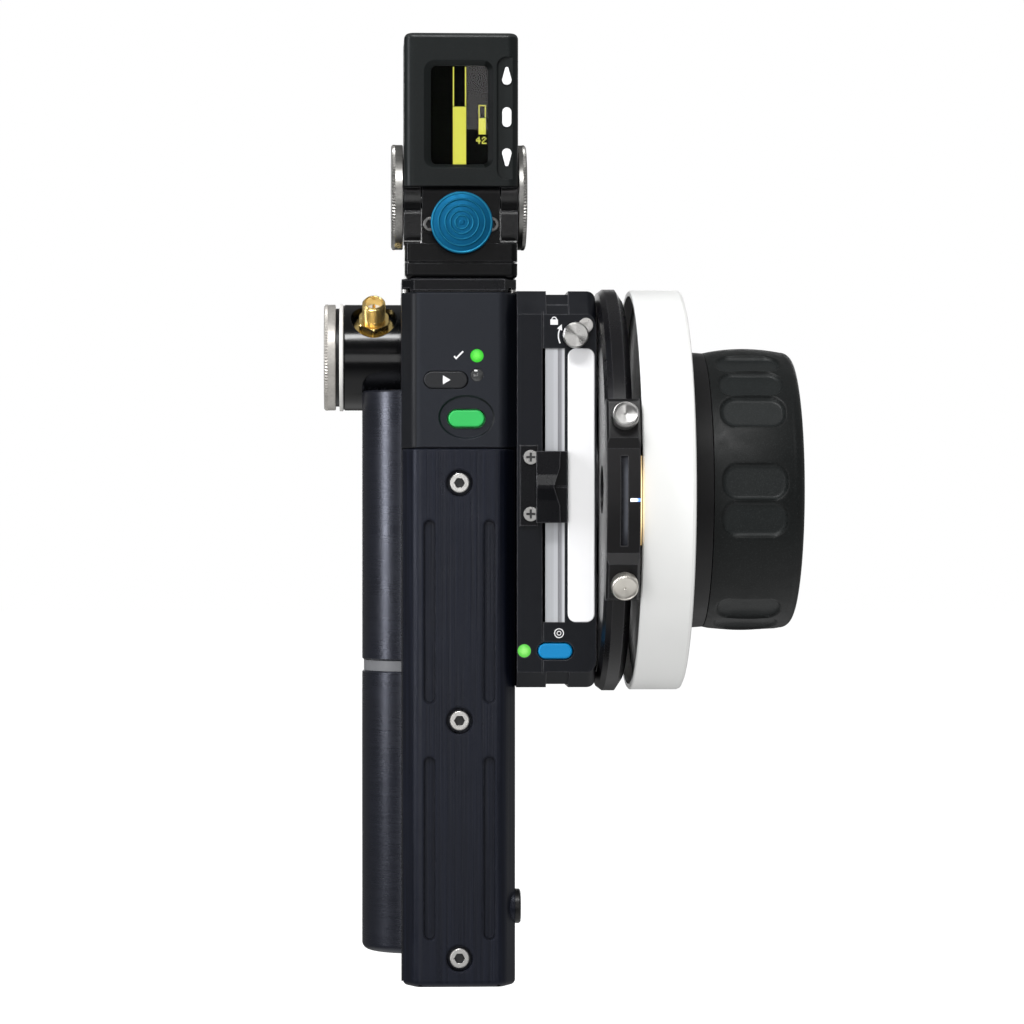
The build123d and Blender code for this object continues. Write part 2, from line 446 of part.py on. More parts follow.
cs = []
for z in (SLIDER_Z + 7.8, SLIDER_Z - 7.2):
    s = cyly(1.9, FRONT_Y - 1.9, FRONT_Y - 1.2, 18.75, z) + cyly(0.8, FRONT_Y - 1.2, FRONT_Y - 0.2, 18.75, z)
    s -= box(17.55, 19.95, FRONT_Y - 2.2, FRONT_Y - 1.35, z - 0.3, z + 0.3)
    s -= box(18.45, 19.05, FRONT_Y - 2.2, FRONT_Y - 1.35, z - 1.2, z + 1.2)
    cs.append(s)
put("carriage_screws", *cs)

# lock lever with its pivot screw
lv = front(Pos(*LOCK_PIVOT) * Circle(1.9) + Pos(*LOCK_KNOB) * Circle(1.9), FRONT_Y - 0.95, FRONT_Y - 0.15)
dx, dz = LOCK_KNOB[0] - LOCK_PIVOT[0], LOCK_KNOB[1] - LOCK_PIVOT[1]
ln = math.hypot(dx, dz)
nx, nz = -dz / ln * 1.9, dx / ln * 1.9
lv += front(outline([(LOCK_PIVOT[0] + nx, LOCK_PIVOT[1] + nz), (LOCK_PIVOT[0] - nx, LOCK_PIVOT[1] - nz),
                     (LOCK_KNOB[0] - nx, LOCK_KNOB[1] - nz), (LOCK_KNOB[0] + nx, LOCK_KNOB[1] + nz)]), FRONT_Y - 0.95, FRONT_Y - 0.15)
lv += cyly(1.6, FRONT_Y - 2.0, FRONT_Y - 0.9, *LOCK_KNOB)
kn = cyly(3.4, FRONT_Y - 5.0, FRONT_Y - 1.9, *LOCK_KNOB)
kn = chamfer(kn.edges().filter_by_position(Axis.Y, FRONT_Y - 5.01, FRONT_Y - 4.99), 0.35)
lv += kn
lv -= cyly(1.05, FRONT_Y - 1.2, FRONT_Y, *LOCK_PIVOT)
put("lock_lever", lv)
pv = cyly(1.7, FRONT_Y - 1.75, FRONT_Y - 1.0, *LOCK_PIVOT) + cyly(1.0, FRONT_Y - 1.0, FRONT_Y + 2.4, *LOCK_PIVOT)
pv -= cyly(0.7, FRONT_Y - 2, FRONT_Y - 1.3, *LOCK_PIVOT)
put("lock_pivot", pv)

# ---------------------------------------------------------------- hand wheel: fixed side
fl = revx([(36.2, 16.0), (36.2, 22.0), (36.7, 22.0), (36.7, 51.2), (37.5, 53.1), (38.9, FLANGE_R), (42.0, FLANGE_R), (43.8, 51.4),
           (43.8, 47.0), (42.4, 47.0), (41.0, 40.0), (41.0, 16.0)], 0, KNOB_Z)
for s in (-1, 1):
    fl -= cylx(6.4, 36.0, 38.2, s * 36.0, KNOB_Z)
put("index_flange", fl)
eb = cylx(16.0, 27.4, 41.0, 0, KNOB_Z) - cylx(BEARING_R, 28.4, 42, 0, KNOB_Z)
put("encoder_body", eb)
put("knob_bearings", *[cylx(BEARING_R, a, a + 5, 0, KNOB_Z) - cylx(SPINDLE_R + 0.04, a - 1, a + 6, 0, KNOB_Z) for a in (28.9, 35.9)])

# ---------------------------------------------------------------- hand wheel: turning side
put("knob_spindle", revx([(29.2, 0), (29.2, SPINDLE_R), (64.0, SPINDLE_R), (64.0, 7.5), (67.5, 7.5), (67.5, 0)], 0, KNOB_Z))
put("knob_hub", revx([(42.6, SPINDLE_R), (42.6, 12), (48.6, 12), (48.6, 52.35), (58.1, 52.35), (58.1, 50.3), (52.0, 50.3), (52.0, 38.4),
                      (59.9, 38.4), (59.9, 37.5), (65.9, 37.0), (65.9, 33.0), (86.0, 33.0), (86.0, 29.5), (56.0, 29.5),
                      (56.0, 12.0), (64.0, 12.0), (64.0, SPINDLE_R)], 0, KNOB_Z))
ri = RING_R - RING_WALL
put("marking_ring", revx([(RING_X0, ri), (RING_X0, RING_R - 0.35), (RING_X0 + 0.35, RING_R), (RING_X1 - 1.0, RING_R), (RING_X1 - 0.3, RING_R - 0.3),
                          (RING_X1, RING_R - 1.0), (RING_X1, 38.5), (58.2, 38.5), (58.2, ri)], 0, KNOB_Z))

pl = Plane(origin=(0, 0, KNOB_Z), x_dir=(1, 0, 0), z_dir=(0, -1, 0))
outer = Line((GRIP_X0, 33.05), (GRIP_X0, 37.0)) + ThreePointArc((GRIP_X0, 37.0), (76.6, 38.2), (87.0, 37.25))
outer += ThreePointArc((87.0, 37.25), (89.15, 36.3), (90.0, 34.2)) + Polyline((90.0, 34.2), (90.0, 24.0), (86.0, 24.0), (86.0, 33.05), (GRIP_X0, 33.05))
gr = revolve(pl * make_face(outer.edges()), axis=Axis((0, 0, KNOB_Z), (1, 0, 0)))
dent = Pos((DENT_X0 + DENT_X1) / 2, 0) * RectangleRounded(DENT_X1 - DENT_X0, DENT_W, 4.2)
for k in range(24):
    if ((k + 3) % 8) - 3 in DENTS:
        a = math.radians(3.1 + 15 * k)
        n = (0, -math.cos(a), math.sin(a))
        q = Plane(origin=(0, DENT_FLOOR * n[1], KNOB_Z + DENT_FLOOR * n[2]), x_dir=(1, 0, 0), z_dir=n)
        gr -= extrude(q * dent, amount=4)
put("knob_grip", gr)
put("knob_cap", revx([(86.0, 0), (86.0, 24.0), (89.6, 24.0), (90.0, 23.6), (90.0, 20.5), (89.6, 20.1), (89.6, 0)], 0, KNOB_Z))

# ---------------------------------------------------------------- index carriage on the flange's rim
half_w, half_e = 13.5, 27.0


def pt3(a, r):
    return polar(IDX_A0 + a, r)


def arc3(a0, a1, r):
    return ThreePointArc(pt3(a0, r), pt3((a0 + a1) / 2, r), pt3(a1, r))


ol = arc3(-half_e, half_e, 51.5)
ol += Line(pt3(half_e, 51.5), pt3(half_e, 57.0)) + Line(pt3(half_e, 57.0), pt3(half_e - 1.6, 59.0))
ol += arc3(half_e - 1.6, half_w + 2.4, 59.0) + Line(pt3(half_w + 2.4, 59.0), pt3(half_w, 57.3))
ol += arc3(half_w, -half_w, 57.3) + Line(pt3(-half_w, 57.3), pt3(-half_w - 2.4, 59.0))
ol += arc3(-half_w - 2.4, -half_e + 1.6, 59.0) + Line(pt3(-half_e + 1.6, 59.0), pt3(-half_e, 57.0)) + Line(pt3(-half_e, 57.0), pt3(-half_e, 51.5))
ic = extrude(Plane(origin=(IDX_X0, 0, 0), x_dir=(0, 1, 0), z_dir=(1, 0, 0)) * make_face(ol.edges()), amount=IDX_X1 - IDX_X0)
ic &= revx([(IDX_X0, 50), (IDX_X0, 58.0), (IDX_X0 + 0.9, 59.5), (IDX_X1 - 0.9, 59.5), (IDX_X1, 58.0), (IDX_X1, 50)], 0, KNOB_Z)
ic -= revx([(36.0, 40), (36.0, 51.0), (37.2, 53.35), (38.75, 54.45), (42.25, 54.45), (44.1, 51.75), (44.1, 40)], 0, KNOB_Z)
slot_r0 = 56.2
ic -= sector([(40.2, slot_r0), (42.0, slot_r0), (42.0, 60), (40.2, 60)], IDX_A0 - 11.6, IDX_A0 + 11.6)
ic -= sector([(42.6, 56.9), (46.0, 56.9), (46.0, 60), (42.6, 60)], -3.1, -2.3)
idx_planes = []
for a in IDX_SCREW_A:
    r = math.radians(a)
    n = (0, -math.cos(r), math.sin(r))
    q = Plane(origin=(IDX_SCREW_X, 0, KNOB_Z), x_dir=(1, 0, 0), z_dir=n)
    idx_planes.append(q)
    ic -= extrude(q.offset(54) * Circle(1.55), amount=8)
put("index_carriage", ic)
put("index_window", sector([(40.2, slot_r0), (42.0, slot_r0), (42.0, 56.8), (40.2, 56.8)], IDX_A0 - 11.6, IDX_A0 + 11.6))
put("index_light", sector([(IDX_X1, 52.6), (45.7, 52.6), (45.7, 55.2), (IDX_X1, 55.2)], IDX_A0 - 12, IDX_A0 + 12),
    sector([(42.6, 56.9), (IDX_X1 - 0.05, 56.9), (IDX_X1 - 0.05, 57.5), (42.6, 57.5)], -3.1, -2.3))
for name, q in zip(("upper_index_screw", "lower_index_screw"), idx_planes):
    s = extrude(q.offset(55.0) * Circle(1.5), amount=4.4)
    hd = extrude(q.offset(59.3) * knurled(3.55, 0.18, 48), amount=3.0)
    hd &= extrude(q.offset(59.2) * Circle(3.52), amount=3.2)
    s += hd
    put(name, s)

# ---------------------------------------------------------------- seat of the display
mp = faceted(BODY_HALF, -21.6, 6.0, PANEL_Z1, 187.4, 0)
mp = chamfer([e for e in mp.edges().filter_by_position(Axis.Z, 187.39, 187.41) if e.center().Y < -16], 0.35)
mp -= box(-20, 20, -23, 6.1, PANEL_Z1 - 1, PANEL_Z1 + 0.5) - faceted(BODY_HALF - 0.6, -20.6, 6.2, PANEL_Z1 - 1, 190, 0)
for x in MOUNT_SCREW_X:
    mp -= cylz(1.2, PANEL_Z1 - 1, PANEL_Z1 + 1.2, x, MOUNT_SCREW_Y)
    mp -= box(x - 1.2, x + 1.2, -23, MOUNT_SCREW_Y, PANEL_Z1 - 1, PANEL_Z1 + 1.2)
put("mount_plate", mp)
put("mount_screws", *[cylz(0.95, PANEL_Z1, PANEL_Z1 + 1.0, x, MOUNT_SCREW_Y) + cylz(0.6, PANEL_Z1 - 1.6, PANEL_Z1, x, MOUNT_SCREW_Y) for x in MOUNT_SCREW_X])

tb = box(TOP_X - 14.9, TOP_X + 14.9, -20.5, 6.0, 187.4, 196.7)
tb = fillet([e for e in tb.edges().filter_by(Axis.Z) if e.center().Y < -20], 1.6)
tb = fillet([e for e in tb.edges().filter_by_position(Axis.Z, 187.39, 187.41) if e.center().Y < 5.9], 1.2)
tb -= box(-20, 20, -21, 7, 191.4, 191.85) - box(TOP_X - 13.9, TOP_X + 13.9, -19.5, 5.0, 191, 192)
tb += cylx(TONGUE_R, TOP_X - TONGUE_HALF, TOP_X + TONGUE_HALF, HINGE_Y, HINGE_Z)
tb += box(TOP_X - TONGUE_HALF, TOP_X + TONGUE_HALF, HINGE_Y - TONGUE_R, HINGE_Y + 8.0, 196.0, HINGE_Z)
tb -= cylx(AXLE_R, -30, 30, HINGE_Y, HINGE_Z)
tb -= cyly(5.0, HINGE_Y - TONGUE_R - 1, -9.0, TOP_X, ROCK_Z)
tb -= cylx(1.25, TOP_X - 7.0, TOP_X + 7.0, ROCK_PIVOT_Y, ROCK_Z)
for s in (-1, 1):
    tb -= cyly(0.9, HINGE_Y - TONGUE_R - 1, -14.5, TOP_X + 8.15 * s, ROCK_Z)
put("tilt_base", tb)

rs = []
for sgn in (-1, 1):
    x = TOP_X + 8.15 * sgn
    s = cyly(1.95, -19.3, HINGE_Y - TONGUE_R, x, ROCK_Z) + cyly(0.9, HINGE_Y - TONGUE_R, -14.5, x, ROCK_Z)
    s = fillet(s.edges().filter_by_position(Axis.Y, -19.31, -19.29), 0.3)
    s -= front(Pos(x, ROCK_Z) * RegularPolygon(1.25, 6), -19.6, -18.4)
    rs.append(s)
put("rocker_screws", *rs)
put("hinge_axle", cylx(AXLE_R, TOP_X - 17.3, TOP_X + 17.3, HINGE_Y, HINGE_Z))

# zoom rocker: turned disc with rings, stem and cross pin
dk = [(0, -26.35), (0.55, -26.35), (0.75, -26.2), (1.55, -26.2), (1.75, -26.5), (2.0, -26.2), (2.75, -26.15), (3.0, -26.45), (3.25, -26.1), (4.15, -26.0),
      (4.4, -26.35), (4.7, -25.95), (5.85, -25.75), (6.1, -26.1), (6.4, -25.65), (7.5, -25.35), (7.8, -25.5), (8.1, -25.3), (8.2, -24.95), (7.9, -24.2),
      (3.0, -23.4), (2.2, -22.6), (2.2, -12.5), (0, -12.5)]
zr = revolve(Plane(origin=(TOP_X, 0, ROCK_Z), x_dir=(1, 0, 0), z_dir=(0, 0, 1)) * outline(dk), axis=Axis((TOP_X, 0, ROCK_Z), (0, 1, 0)))
zr += cyly(2.2, -12.6, -10.6, TOP_X, ROCK_Z) + cylx(1.2, TOP_X - 6.6, TOP_X + 6.6, ROCK_PIVOT_Y, ROCK_Z)
put("zoom_rocker", zr)

# ---------------------------------------------------------------- display
X0, X1 = TOP_X - CASE_HALF, TOP_X + CASE_HALF
dc = box(X0, X1, FRONT_Y, CASE_Y1, CASE_Z0, CASE_Z1)
dc = fillet([e for e in dc.edges().filter_by(Axis.Z) if e.center().Y < -10], CASE_R)
dc = fillet([e for e in dc.edges().filter_by(Axis.Z) if e.center().Y > 1.9], 1.6)
dc = fillet(dc.edges().filter_by_position(Axis.Z, CASE_Z1 - 0.01, CASE_Z1 + 0.01), 1.5)
dc -= cylx(TONGUE_R + 0.35, TOP_X - TONGUE_HALF - 0.3, TOP_X + TONGUE_HALF + 0.3, HINGE_Y, HINGE_Z)
for sgn in (-1, 1):
    a, b = sorted((TOP_X + sgn * (TONGUE_HALF + 0.3), TOP_X + sgn * CASE_HALF))
    arm = cylx(ARM_R, a, b, HINGE_Y, HINGE_Z) + along_x([(-18.6, 197.5), (-19.3, 198.9), (-19.3, 204.4), (-18.95, 205.2), (-16.0, 205.6), (-8.0, 205.6), (-8.0, 198.0), (-13.0, 197.5)], a, b)
    arm += box(a, b, -17.3, 0.5, 209.0, 213.5)
    dc += arm
wide = Pos(-0.2, 230.65) * RectangleRounded(18.4, 28.5, 2.9)
tight = Pos(0.0, 230.5) * RectangleRounded(15.1, 26.1, 1.5)
pf = Plane(origin=(0, FRONT_Y - 0.02, 0), x_dir=(1, 0, 0), z_dir=(0, -1, 0))
pb = Plane(origin=(0, FRONT_Y + 1.2, 0), x_dir=(1, 0, 0), z_dir=(0, -1, 0))
dc -= loft([pb * tight, pf * wide])
dc -= front(tight, FRONT_Y + 1.1, FRONT_Y + 3.6)
# key recess, deepest at its left and running out at the case's right edge
kr = front(Pos(13.9, 229.65) * RectangleRounded(8.0, 32.3, 2.4), FRONT_Y - 2, FRONT_Y + 3)
kr &= upright([(9.0, -25.0), (9.0, -20.75), (16.0, -22.05), (16.0, -25.0)], 200, 250)
dc -= kr
keys = {}
for name, z, up in (("up_key", KEY_Z[0], True), ("set_key", KEY_Z[1], None), ("down_key", KEY_Z[2], False)):
    if up is None:
        hole, sk = tall_pill(KEY_X, z, 2.4 + 0.2, 5.2 + 0.2), tall_pill(KEY_X, z, 2.4, 5.2)
    else:
        hole, sk = drop(KEY_X, z, 2.5, 4.7, up, 0.1), drop(KEY_X, z, 2.5, 4.7, up)
    dc -= front(hole, FRONT_Y - 1, -18.2)
    keys[name] = front(sk, -21.95, -18.95)
dc -= box(TOP_X - 12.6, TOP_X + 12.6, -17.5, CASE_Y1 + 1, 225.0, 250.0)
dc -= cylx(AXLE_R + 0.05, -30, 30, HINGE_Y, HINGE_Z)
put("display_case", dc)
put("display_back", box(TOP_X - 12.6, TOP_X + 12.6, 0.0, CASE_Y1, 225.0, 250.0))
put("display_window", front(tight, FRONT_Y + 1.2, FRONT_Y + 2.2))
put("display_panel", front(tight, FRONT_Y + 2.2, FRONT_Y + 3.6))
for name, s in keys.items():
    put(name, s)

for name, sgn in (("left_tilt_knob", -1), ("right_tilt_knob", 1)):
    xa, xb = TOP_X + sgn * 15.3, TOP_X + sgn * TILT_OUT[sgn]
    xr = xb - sgn * RIM_W
    k = knurled_x(TILT_R, 0.35, 104, min(xr, xb), max(xr, xb), HINGE_Y, HINGE_Z) + cylx(TILT_R - 0.06, min(xa, xr), max(xa, xr), HINGE_Y, HINGE_Z)
    k &= revx([(xa, 0), (xa, TILT_R - 0.3), (xa + sgn * 0.3, TILT_R + 0.1), (xb - sgn * 0.5, TILT_R + 0.1), (xb, TILT_R - 0.5), (xb, 0)], HINGE_Y, HINGE_Z)
    k -= cylx(AXLE_R + 0.05, TOP_X - 17.35, TOP_X + 17.35, HINGE_Y, HINGE_Z)
    put(name, k)

# ---------------------------------------------------------------- files
for name, solids in NODES.items():
    flat = []
    for s in solids:
        flat += list(s.solids())
    shape = flat[0] if len(flat) == 1 else Compound(children=flat)
    shape.label = name
    export_step(shape, "parts/" + name + ".step")
print(len(NODES), "pieces")
for name, solids in NODES.items():
    n = sum(len(s.solids()) for s in solids)
    if n != len(solids):
        print("piece with", n, "solids:", name)
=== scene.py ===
# Looks of the hand unit: finishes for every piece, the moulded rubber of the hand wheel,
# the threaded antenna socket, turned thumb screws, the lit screen and the printed marks.
import math

import bmesh
import bpy
from mathutils import Matrix, Vector


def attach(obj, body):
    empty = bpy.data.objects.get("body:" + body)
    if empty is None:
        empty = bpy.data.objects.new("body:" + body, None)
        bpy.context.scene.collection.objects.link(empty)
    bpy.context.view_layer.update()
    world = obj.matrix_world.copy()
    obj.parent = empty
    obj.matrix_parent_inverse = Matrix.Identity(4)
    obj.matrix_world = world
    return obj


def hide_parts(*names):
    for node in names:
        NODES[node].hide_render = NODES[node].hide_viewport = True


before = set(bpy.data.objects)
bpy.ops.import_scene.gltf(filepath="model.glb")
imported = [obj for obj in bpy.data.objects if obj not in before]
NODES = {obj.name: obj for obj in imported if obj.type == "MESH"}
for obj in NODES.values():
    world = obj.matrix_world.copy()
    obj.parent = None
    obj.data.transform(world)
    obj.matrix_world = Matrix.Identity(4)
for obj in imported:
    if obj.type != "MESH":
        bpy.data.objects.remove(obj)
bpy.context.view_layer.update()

SHIFT = 11.0            # the layout's Y 0 is the hand wheel axis, 11 mm behind the origin
FRONT = -22.0           # front of panel, grip and slider module
KNOB_Z = 131.5


def P(x, y, z):
    """A layout point in millimetres, in the frame in metres."""
    return Vector((x / 1000, (y + SHIFT) / 1000, z / 1000))


# ---------------------------------------------------------------- material kit
class Mat:
    def __init__(self, name):
        self.m = bpy.data.materials.new(name)
        self.m.use_nodes = True
        self.nt = self.m.node_tree
        self.b = self.nt.nodes["Principled BSDF"]
        self.co = self.nt.nodes.new("ShaderNodeTexCoord").outputs["Object"]
        self.normal = None

    def node(self, kind, **props):
        n = self.nt.nodes.new(kind)
        for k, v in props.items():
            setattr(n, k, v)
        return n

    def put(self, socket, value):
        if isinstance(value, bpy.types.NodeSocket):
            self.nt.links.new(value, socket)
        else:
            socket.default_value = value

    def set(self, **values):
        for k, v in values.items():
            self.put(self.b.inputs[k.replace("_", " ")], v)
        return self

    def at(self, scale=(1, 1, 1), centre=(0, 0, 0)):
        n = self.node("ShaderNodeMapping", vector_type="POINT")
        self.put(n.inputs["Vector"], self.co)
        n.inputs["Scale"].default_value = scale
        n.inputs["Location"].default_value = [-c * s for c, s in zip(centre, scale)]
        return n.outputs["Vector"]

    def noise(self, scale, detail=3.0, rough=0.55, vec=None, distort=0.0):
        n = self.node("ShaderNodeTexNoise")
        self.put(n.inputs["Vector"], vec if vec is not None else self.co)
        n.inputs["Scale"].default_value = scale
        n.inputs["Detail"].default_value = detail
        n.inputs["Roughness"].default_value = rough
        n.inputs["Distortion"].default_value = distort
        return n.outputs["Fac"]

    def remap(self, fac, lo, hi, a, b, clamp=True, smooth=False):
        n = self.node("ShaderNodeMapRange", clamp=clamp)
        if smooth:
            n.interpolation_type = "SMOOTHSTEP"
        for i, v in enumerate((fac, lo, hi, a, b)):
            self.put(n.inputs[i], v)
        return n.outputs[0]

    def math(self, op, a, b=0.0, c=0.0):
        n = self.node("ShaderNodeMath", operation=op)
        for i, v in enumerate((a, b, c)):
            self.put(n.inputs[i], v)
        return n.outputs[0]

    def vec(self, op, a, b=(0, 0, 0)):
        n = self.node("ShaderNodeVectorMath", operation=op)
        self.put(n.inputs[0], a)
        self.put(n.inputs[1], b)
        return n

    def mix(self, fac, a, b, blend="MIX"):
        n = self.node("ShaderNodeMix", data_type="RGBA", blend_type=blend)
        self.put(n.inputs["Factor"], fac)
        for name, v in (("A", a), ("B", b)):
            s = [i for i in n.inputs if i.name == name and i.type == "RGBA"][0]
            self.put(s, v if isinstance(v, bpy.types.NodeSocket) else (*v[:3], 1.0))
        return [o for o in n.outputs if o.type == "RGBA"][0]

    def axis(self, i):
        n = self.node("ShaderNodeSeparateXYZ")
        self.put(n.inputs[0], self.co)
        return n.outputs[i]

    def soft_edges(self, radius, samples=4):
        n = self.node("ShaderNodeBevel", samples=samples)
        n.inputs["Radius"].default_value = radius
        self.normal = n.outputs["Normal"]
        self.put(self.b.inputs["Normal"], self.normal)
        return self

    def edge_mask(self, radius, lo=0.02, hi=0.35):
        """Nearly 1 on convex and concave edges, 0 on flat ground."""
        n = self.node("ShaderNodeBevel", samples=4)
        n.inputs["Radius"].default_value = radius
        g = self.node("ShaderNodeNewGeometry")
        d = self.vec("DOT_PRODUCT", n.outputs["Normal"], g.outputs["Normal"]).outputs["Value"]
        return self.remap(self.math("SUBTRACT", 1.0, d), lo, hi, 0.0, 1.0)

    def bump(self, height, strength, distance):
        n = self.node("ShaderNodeBump")
        n.inputs["Strength"].default_value = strength
        n.inputs["Distance"].default_value = distance
        self.put(n.inputs["Height"], height)
        if self.normal is not None:
            self.put(n.inputs["Normal"], self.normal)
        self.normal = n.outputs["Normal"]
        self.put(self.b.inputs["Normal"], self.normal)
        return self

    def round_tangent(self, centre, axis):
        """Fine grooves that run round a centre, as on a turned face: gloss spreads away from the centre."""
        d = self.vec("SUBTRACT", self.co, tuple(centre)).outputs["Vector"]
        t = self.vec("CROSS_PRODUCT", tuple(axis), d).outputs["Vector"]
        t = self.vec("CROSS_PRODUCT", t, tuple(axis)).outputs["Vector"]
        self.put(self.b.inputs["Tangent"], self.vec("NORMALIZE", t).outputs["Vector"])
        return self


def black_metal(name, base, lo=0.34, hi=0.48, grain=5200, grain_d=0.00003, streak=None, tint=(1.25, 1.27, 1.32), edge=0.00018, wear=0.5, spec=0.4, gloss=(1.0, 1.0, 1.0), brush=0.55, line=0.0, comb=0.0, sway=1.0, dull=0.0):
    """Dark anodised or painted metal: cloudy colour, fine grain, slightly rubbed edges and, where line is set, a
    painted highlight along every edge.
    """
    m = Mat(name)
    m.soft_edges(edge)
    cloud = m.noise(38, 4, 0.6)
    fine = m.noise(grain, 2, 0.6)
    light = tuple(c * t for c, t in zip(base, tint))
    col = m.mix(m.remap(cloud, 0.35, 0.68, 0, 1), base, light)
    col = m.mix(m.remap(fine, 0.55, 0.8, 0, 0.5), col, tuple(c * 1.9 for c in base))
    worn = m.math("MULTIPLY", m.edge_mask(0.0004), m.remap(m.noise(420, 4, 0.7), 0.45, 0.75, 0.0, wear))
    col = m.mix(worn, col, (0.11, 0.112, 0.12))
    # a light grey band along every edge, as strong as line: a painted highlight
    if line:
        col = m.mix(m.math("MULTIPLY", m.edge_mask(0.0005, 0.015, 0.16), line), col, (0.26, 0.26, 0.275))
    rough = m.remap(m.noise(90, 5, 0.65), 0.3, 0.7, lo, hi)
    if streak:
        s = m.noise(1.0, 3, 0.6, vec=m.at(scale=streak))
        rough = m.math("ADD", rough, m.remap(s, 0.35, 0.7, -0.06 * sway, 0.1 * sway))
        col = m.mix(m.remap(s, 0.42, 0.72, 0, brush), col, tuple(c * 2.4 for c in base))
    if dull:
        rough = m.math("ADD", rough, m.math("MULTIPLY", m.edge_mask(0.0008, 0.004, 0.06), dull))
    m.set(Base_Color=col, Roughness=rough, Specular_IOR_Level=spec, Specular_Tint=(*gloss, 1.0))
    if comb:
        m.bump(s, 0.6, comb)
    m.bump(fine, 0.35, grain_d)
    return m


def steel(name, base, rough=(0.2, 0.34), aniso=0.0, grain=2600, centre=None, axis=None, edge=0.00012, metal=1.0, dirty=0.3, spots=220):
    m = Mat(name)
    m.soft_edges(edge)
    dirt = m.noise(spots, 4, 0.65)
    col = m.mix(m.remap(dirt, 0.42, 0.72, 0, dirty), base, tuple(c * 0.7 for c in base))
    fine = m.noise(grain, 3, 0.6)
    m.set(Base_Color=col, Metallic=metal, Roughness=m.remap(m.noise(700, 4, 0.6), 0.3, 0.7, *rough))
    if aniso:
        m.set(Anisotropic=aniso)
    if centre is not None:
        m.round_tangent(centre, axis)
        d = m.vec("SUBTRACT", m.co, tuple(centre)).outputs["Vector"]
        r = m.vec("LENGTH", m.vec("CROSS_PRODUCT", tuple(axis), d).outputs["Vector"]).outputs["Value"]
        rings = m.math("SINE", m.math("MULTIPLY", r, 26000.0))
        m.bump(rings, 0.1, 0.00002)
    else:
        m.bump(fine, 0.12, 0.00002)
    return m


def plastic(name, base, rough=(0.28, 0.38), speck=0.12, grain=4200, bump=0.12, edge=0.00012, coat=0.0, spec=0.5, second=None, cloud=60, line=0.0):
    m = Mat(name)
    m.soft_edges(edge)
    n = m.noise(cloud, 4, 0.6)
    fine = m.noise(grain, 2, 0.55)
    second = second or tuple(c * 0.9 for c in base)
    col = m.mix(m.remap(n, 0.35, 0.7, 0, 1), base, second)
    col = m.mix(m.remap(fine, 0.58, 0.82, 0, speck), col, tuple(min(1.0, c * 1.6 + 0.01) for c in base))
    # a light grey band along every edge, as strong as line: a painted highlight
    if line:
        col = m.mix(m.math("MULTIPLY", m.edge_mask(0.0005, 0.015, 0.16), line), col, (0.26, 0.26, 0.275))
    m.set(Base_Color=col, Roughness=m.remap(m.noise(150, 4, 0.65), 0.3, 0.7, *rough), Specular_IOR_Level=spec)
    if coat:
        m.set(Coat_Weight=coat, Coat_Roughness=0.08)
    m.bump(fine, bump, 0.00002)
    return m


def lamp(name, core, rim, centre, radius, strength):
    """A lit dome: bright in its middle and deeper towards its rim."""
    m = Mat(name)
    d = m.vec("DISTANCE", m.co, tuple(centre)).outputs["Value"]
    k = m.remap(d, radius * 0.1, radius * 1.05, 0.0, 1.0, smooth=True)
    frost = m.remap(m.noise(2400, 2, 0.5), 0.4, 0.7, 0.0, 0.25)
    col = m.mix(m.math("ADD", k, frost), core, rim)
    m.set(Base_Color=(0.02, 0.1, 0.015, 1.0), Roughness=m.remap(m.noise(500, 3), 0.3, 0.7, 0.42, 0.55), Specular_IOR_Level=0.2, Emission_Color=col, Emission_Strength=strength)
    return m


# ---------------------------------------------------------------- finishes
M = {}
BLUISH = (0.84, 0.87, 1.0)
# line= sets the strength of a light grey painted highlight along every edge of the piece
M["panel"] = black_metal("panel_black", (0.0036, 0.0045, 0.0074), 0.42, 0.52, spec=0.41, gloss=(0.88, 0.92, 1.0))
# darker, less shiny copy of the panel finish for its left bevel: painted shade
M["panel_bevel_shade"] = black_metal("panel_bevel_shade", (0.0032, 0.0038, 0.0052), 0.42, 0.52, spec=0.26)
M["slider_case"] = black_metal("module_black", (0.0022, 0.0026, 0.0044), 0.3, 0.42, wear=0.9, spec=0.24, edge=0.00028, gloss=(0.93, 0.96, 1.0), line=0.16)
M["mount"] = black_metal("mount_black", (0.0026, 0.0028, 0.0036), 0.2, 0.3, wear=0.8, spec=0.16, edge=0.00022, line=0.25)
M["frame"] = black_metal("frame_black", (0.005, 0.0053, 0.0066), 0.36, 0.48, spec=0.35)
M["grip"] = black_metal("grip_black", (0.0017, 0.0024, 0.0054), 0.3, 0.42, streak=(1500, 1500, 16), tint=(1.3, 1.33, 1.42), edge=0.0009, spec=0.35, gloss=BLUISH, brush=0.9, comb=0.00012, dull=0.55)
# near-black copy for the groove walls: painted shade
M["groove"] = black_metal("groove_painted_shade", (0.0006, 0.0007, 0.001), 0.45, 0.6, wear=0.1, spec=0.06)
M["tube"] = black_metal("tube_satin", (0.0048, 0.0054, 0.0084), 0.24, 0.32, grain=3400, grain_d=0.00004, streak=(40, 40, 4200), tint=(1.12, 1.14, 1.2), spec=0.66, gloss=BLUISH, brush=0.15, comb=0.0000015, sway=0.3)
M["cross_tube"] = black_metal("tube_gloss", (0.0012, 0.0013, 0.0017), 0.1, 0.16, grain=2600, grain_d=0.00001, spec=0.32)
M["collar_grey"] = plastic("collar_grey", (0.13, 0.132, 0.138), (0.42, 0.55), second=(0.1, 0.102, 0.107))
M["socket_black"] = black_metal("socket_black", (0.005, 0.005, 0.0055), 0.28, 0.4, spec=0.35)
M["neck"] = black_metal("neck_black", (0.003, 0.003, 0.0034), 0.3, 0.42, spec=0.3)
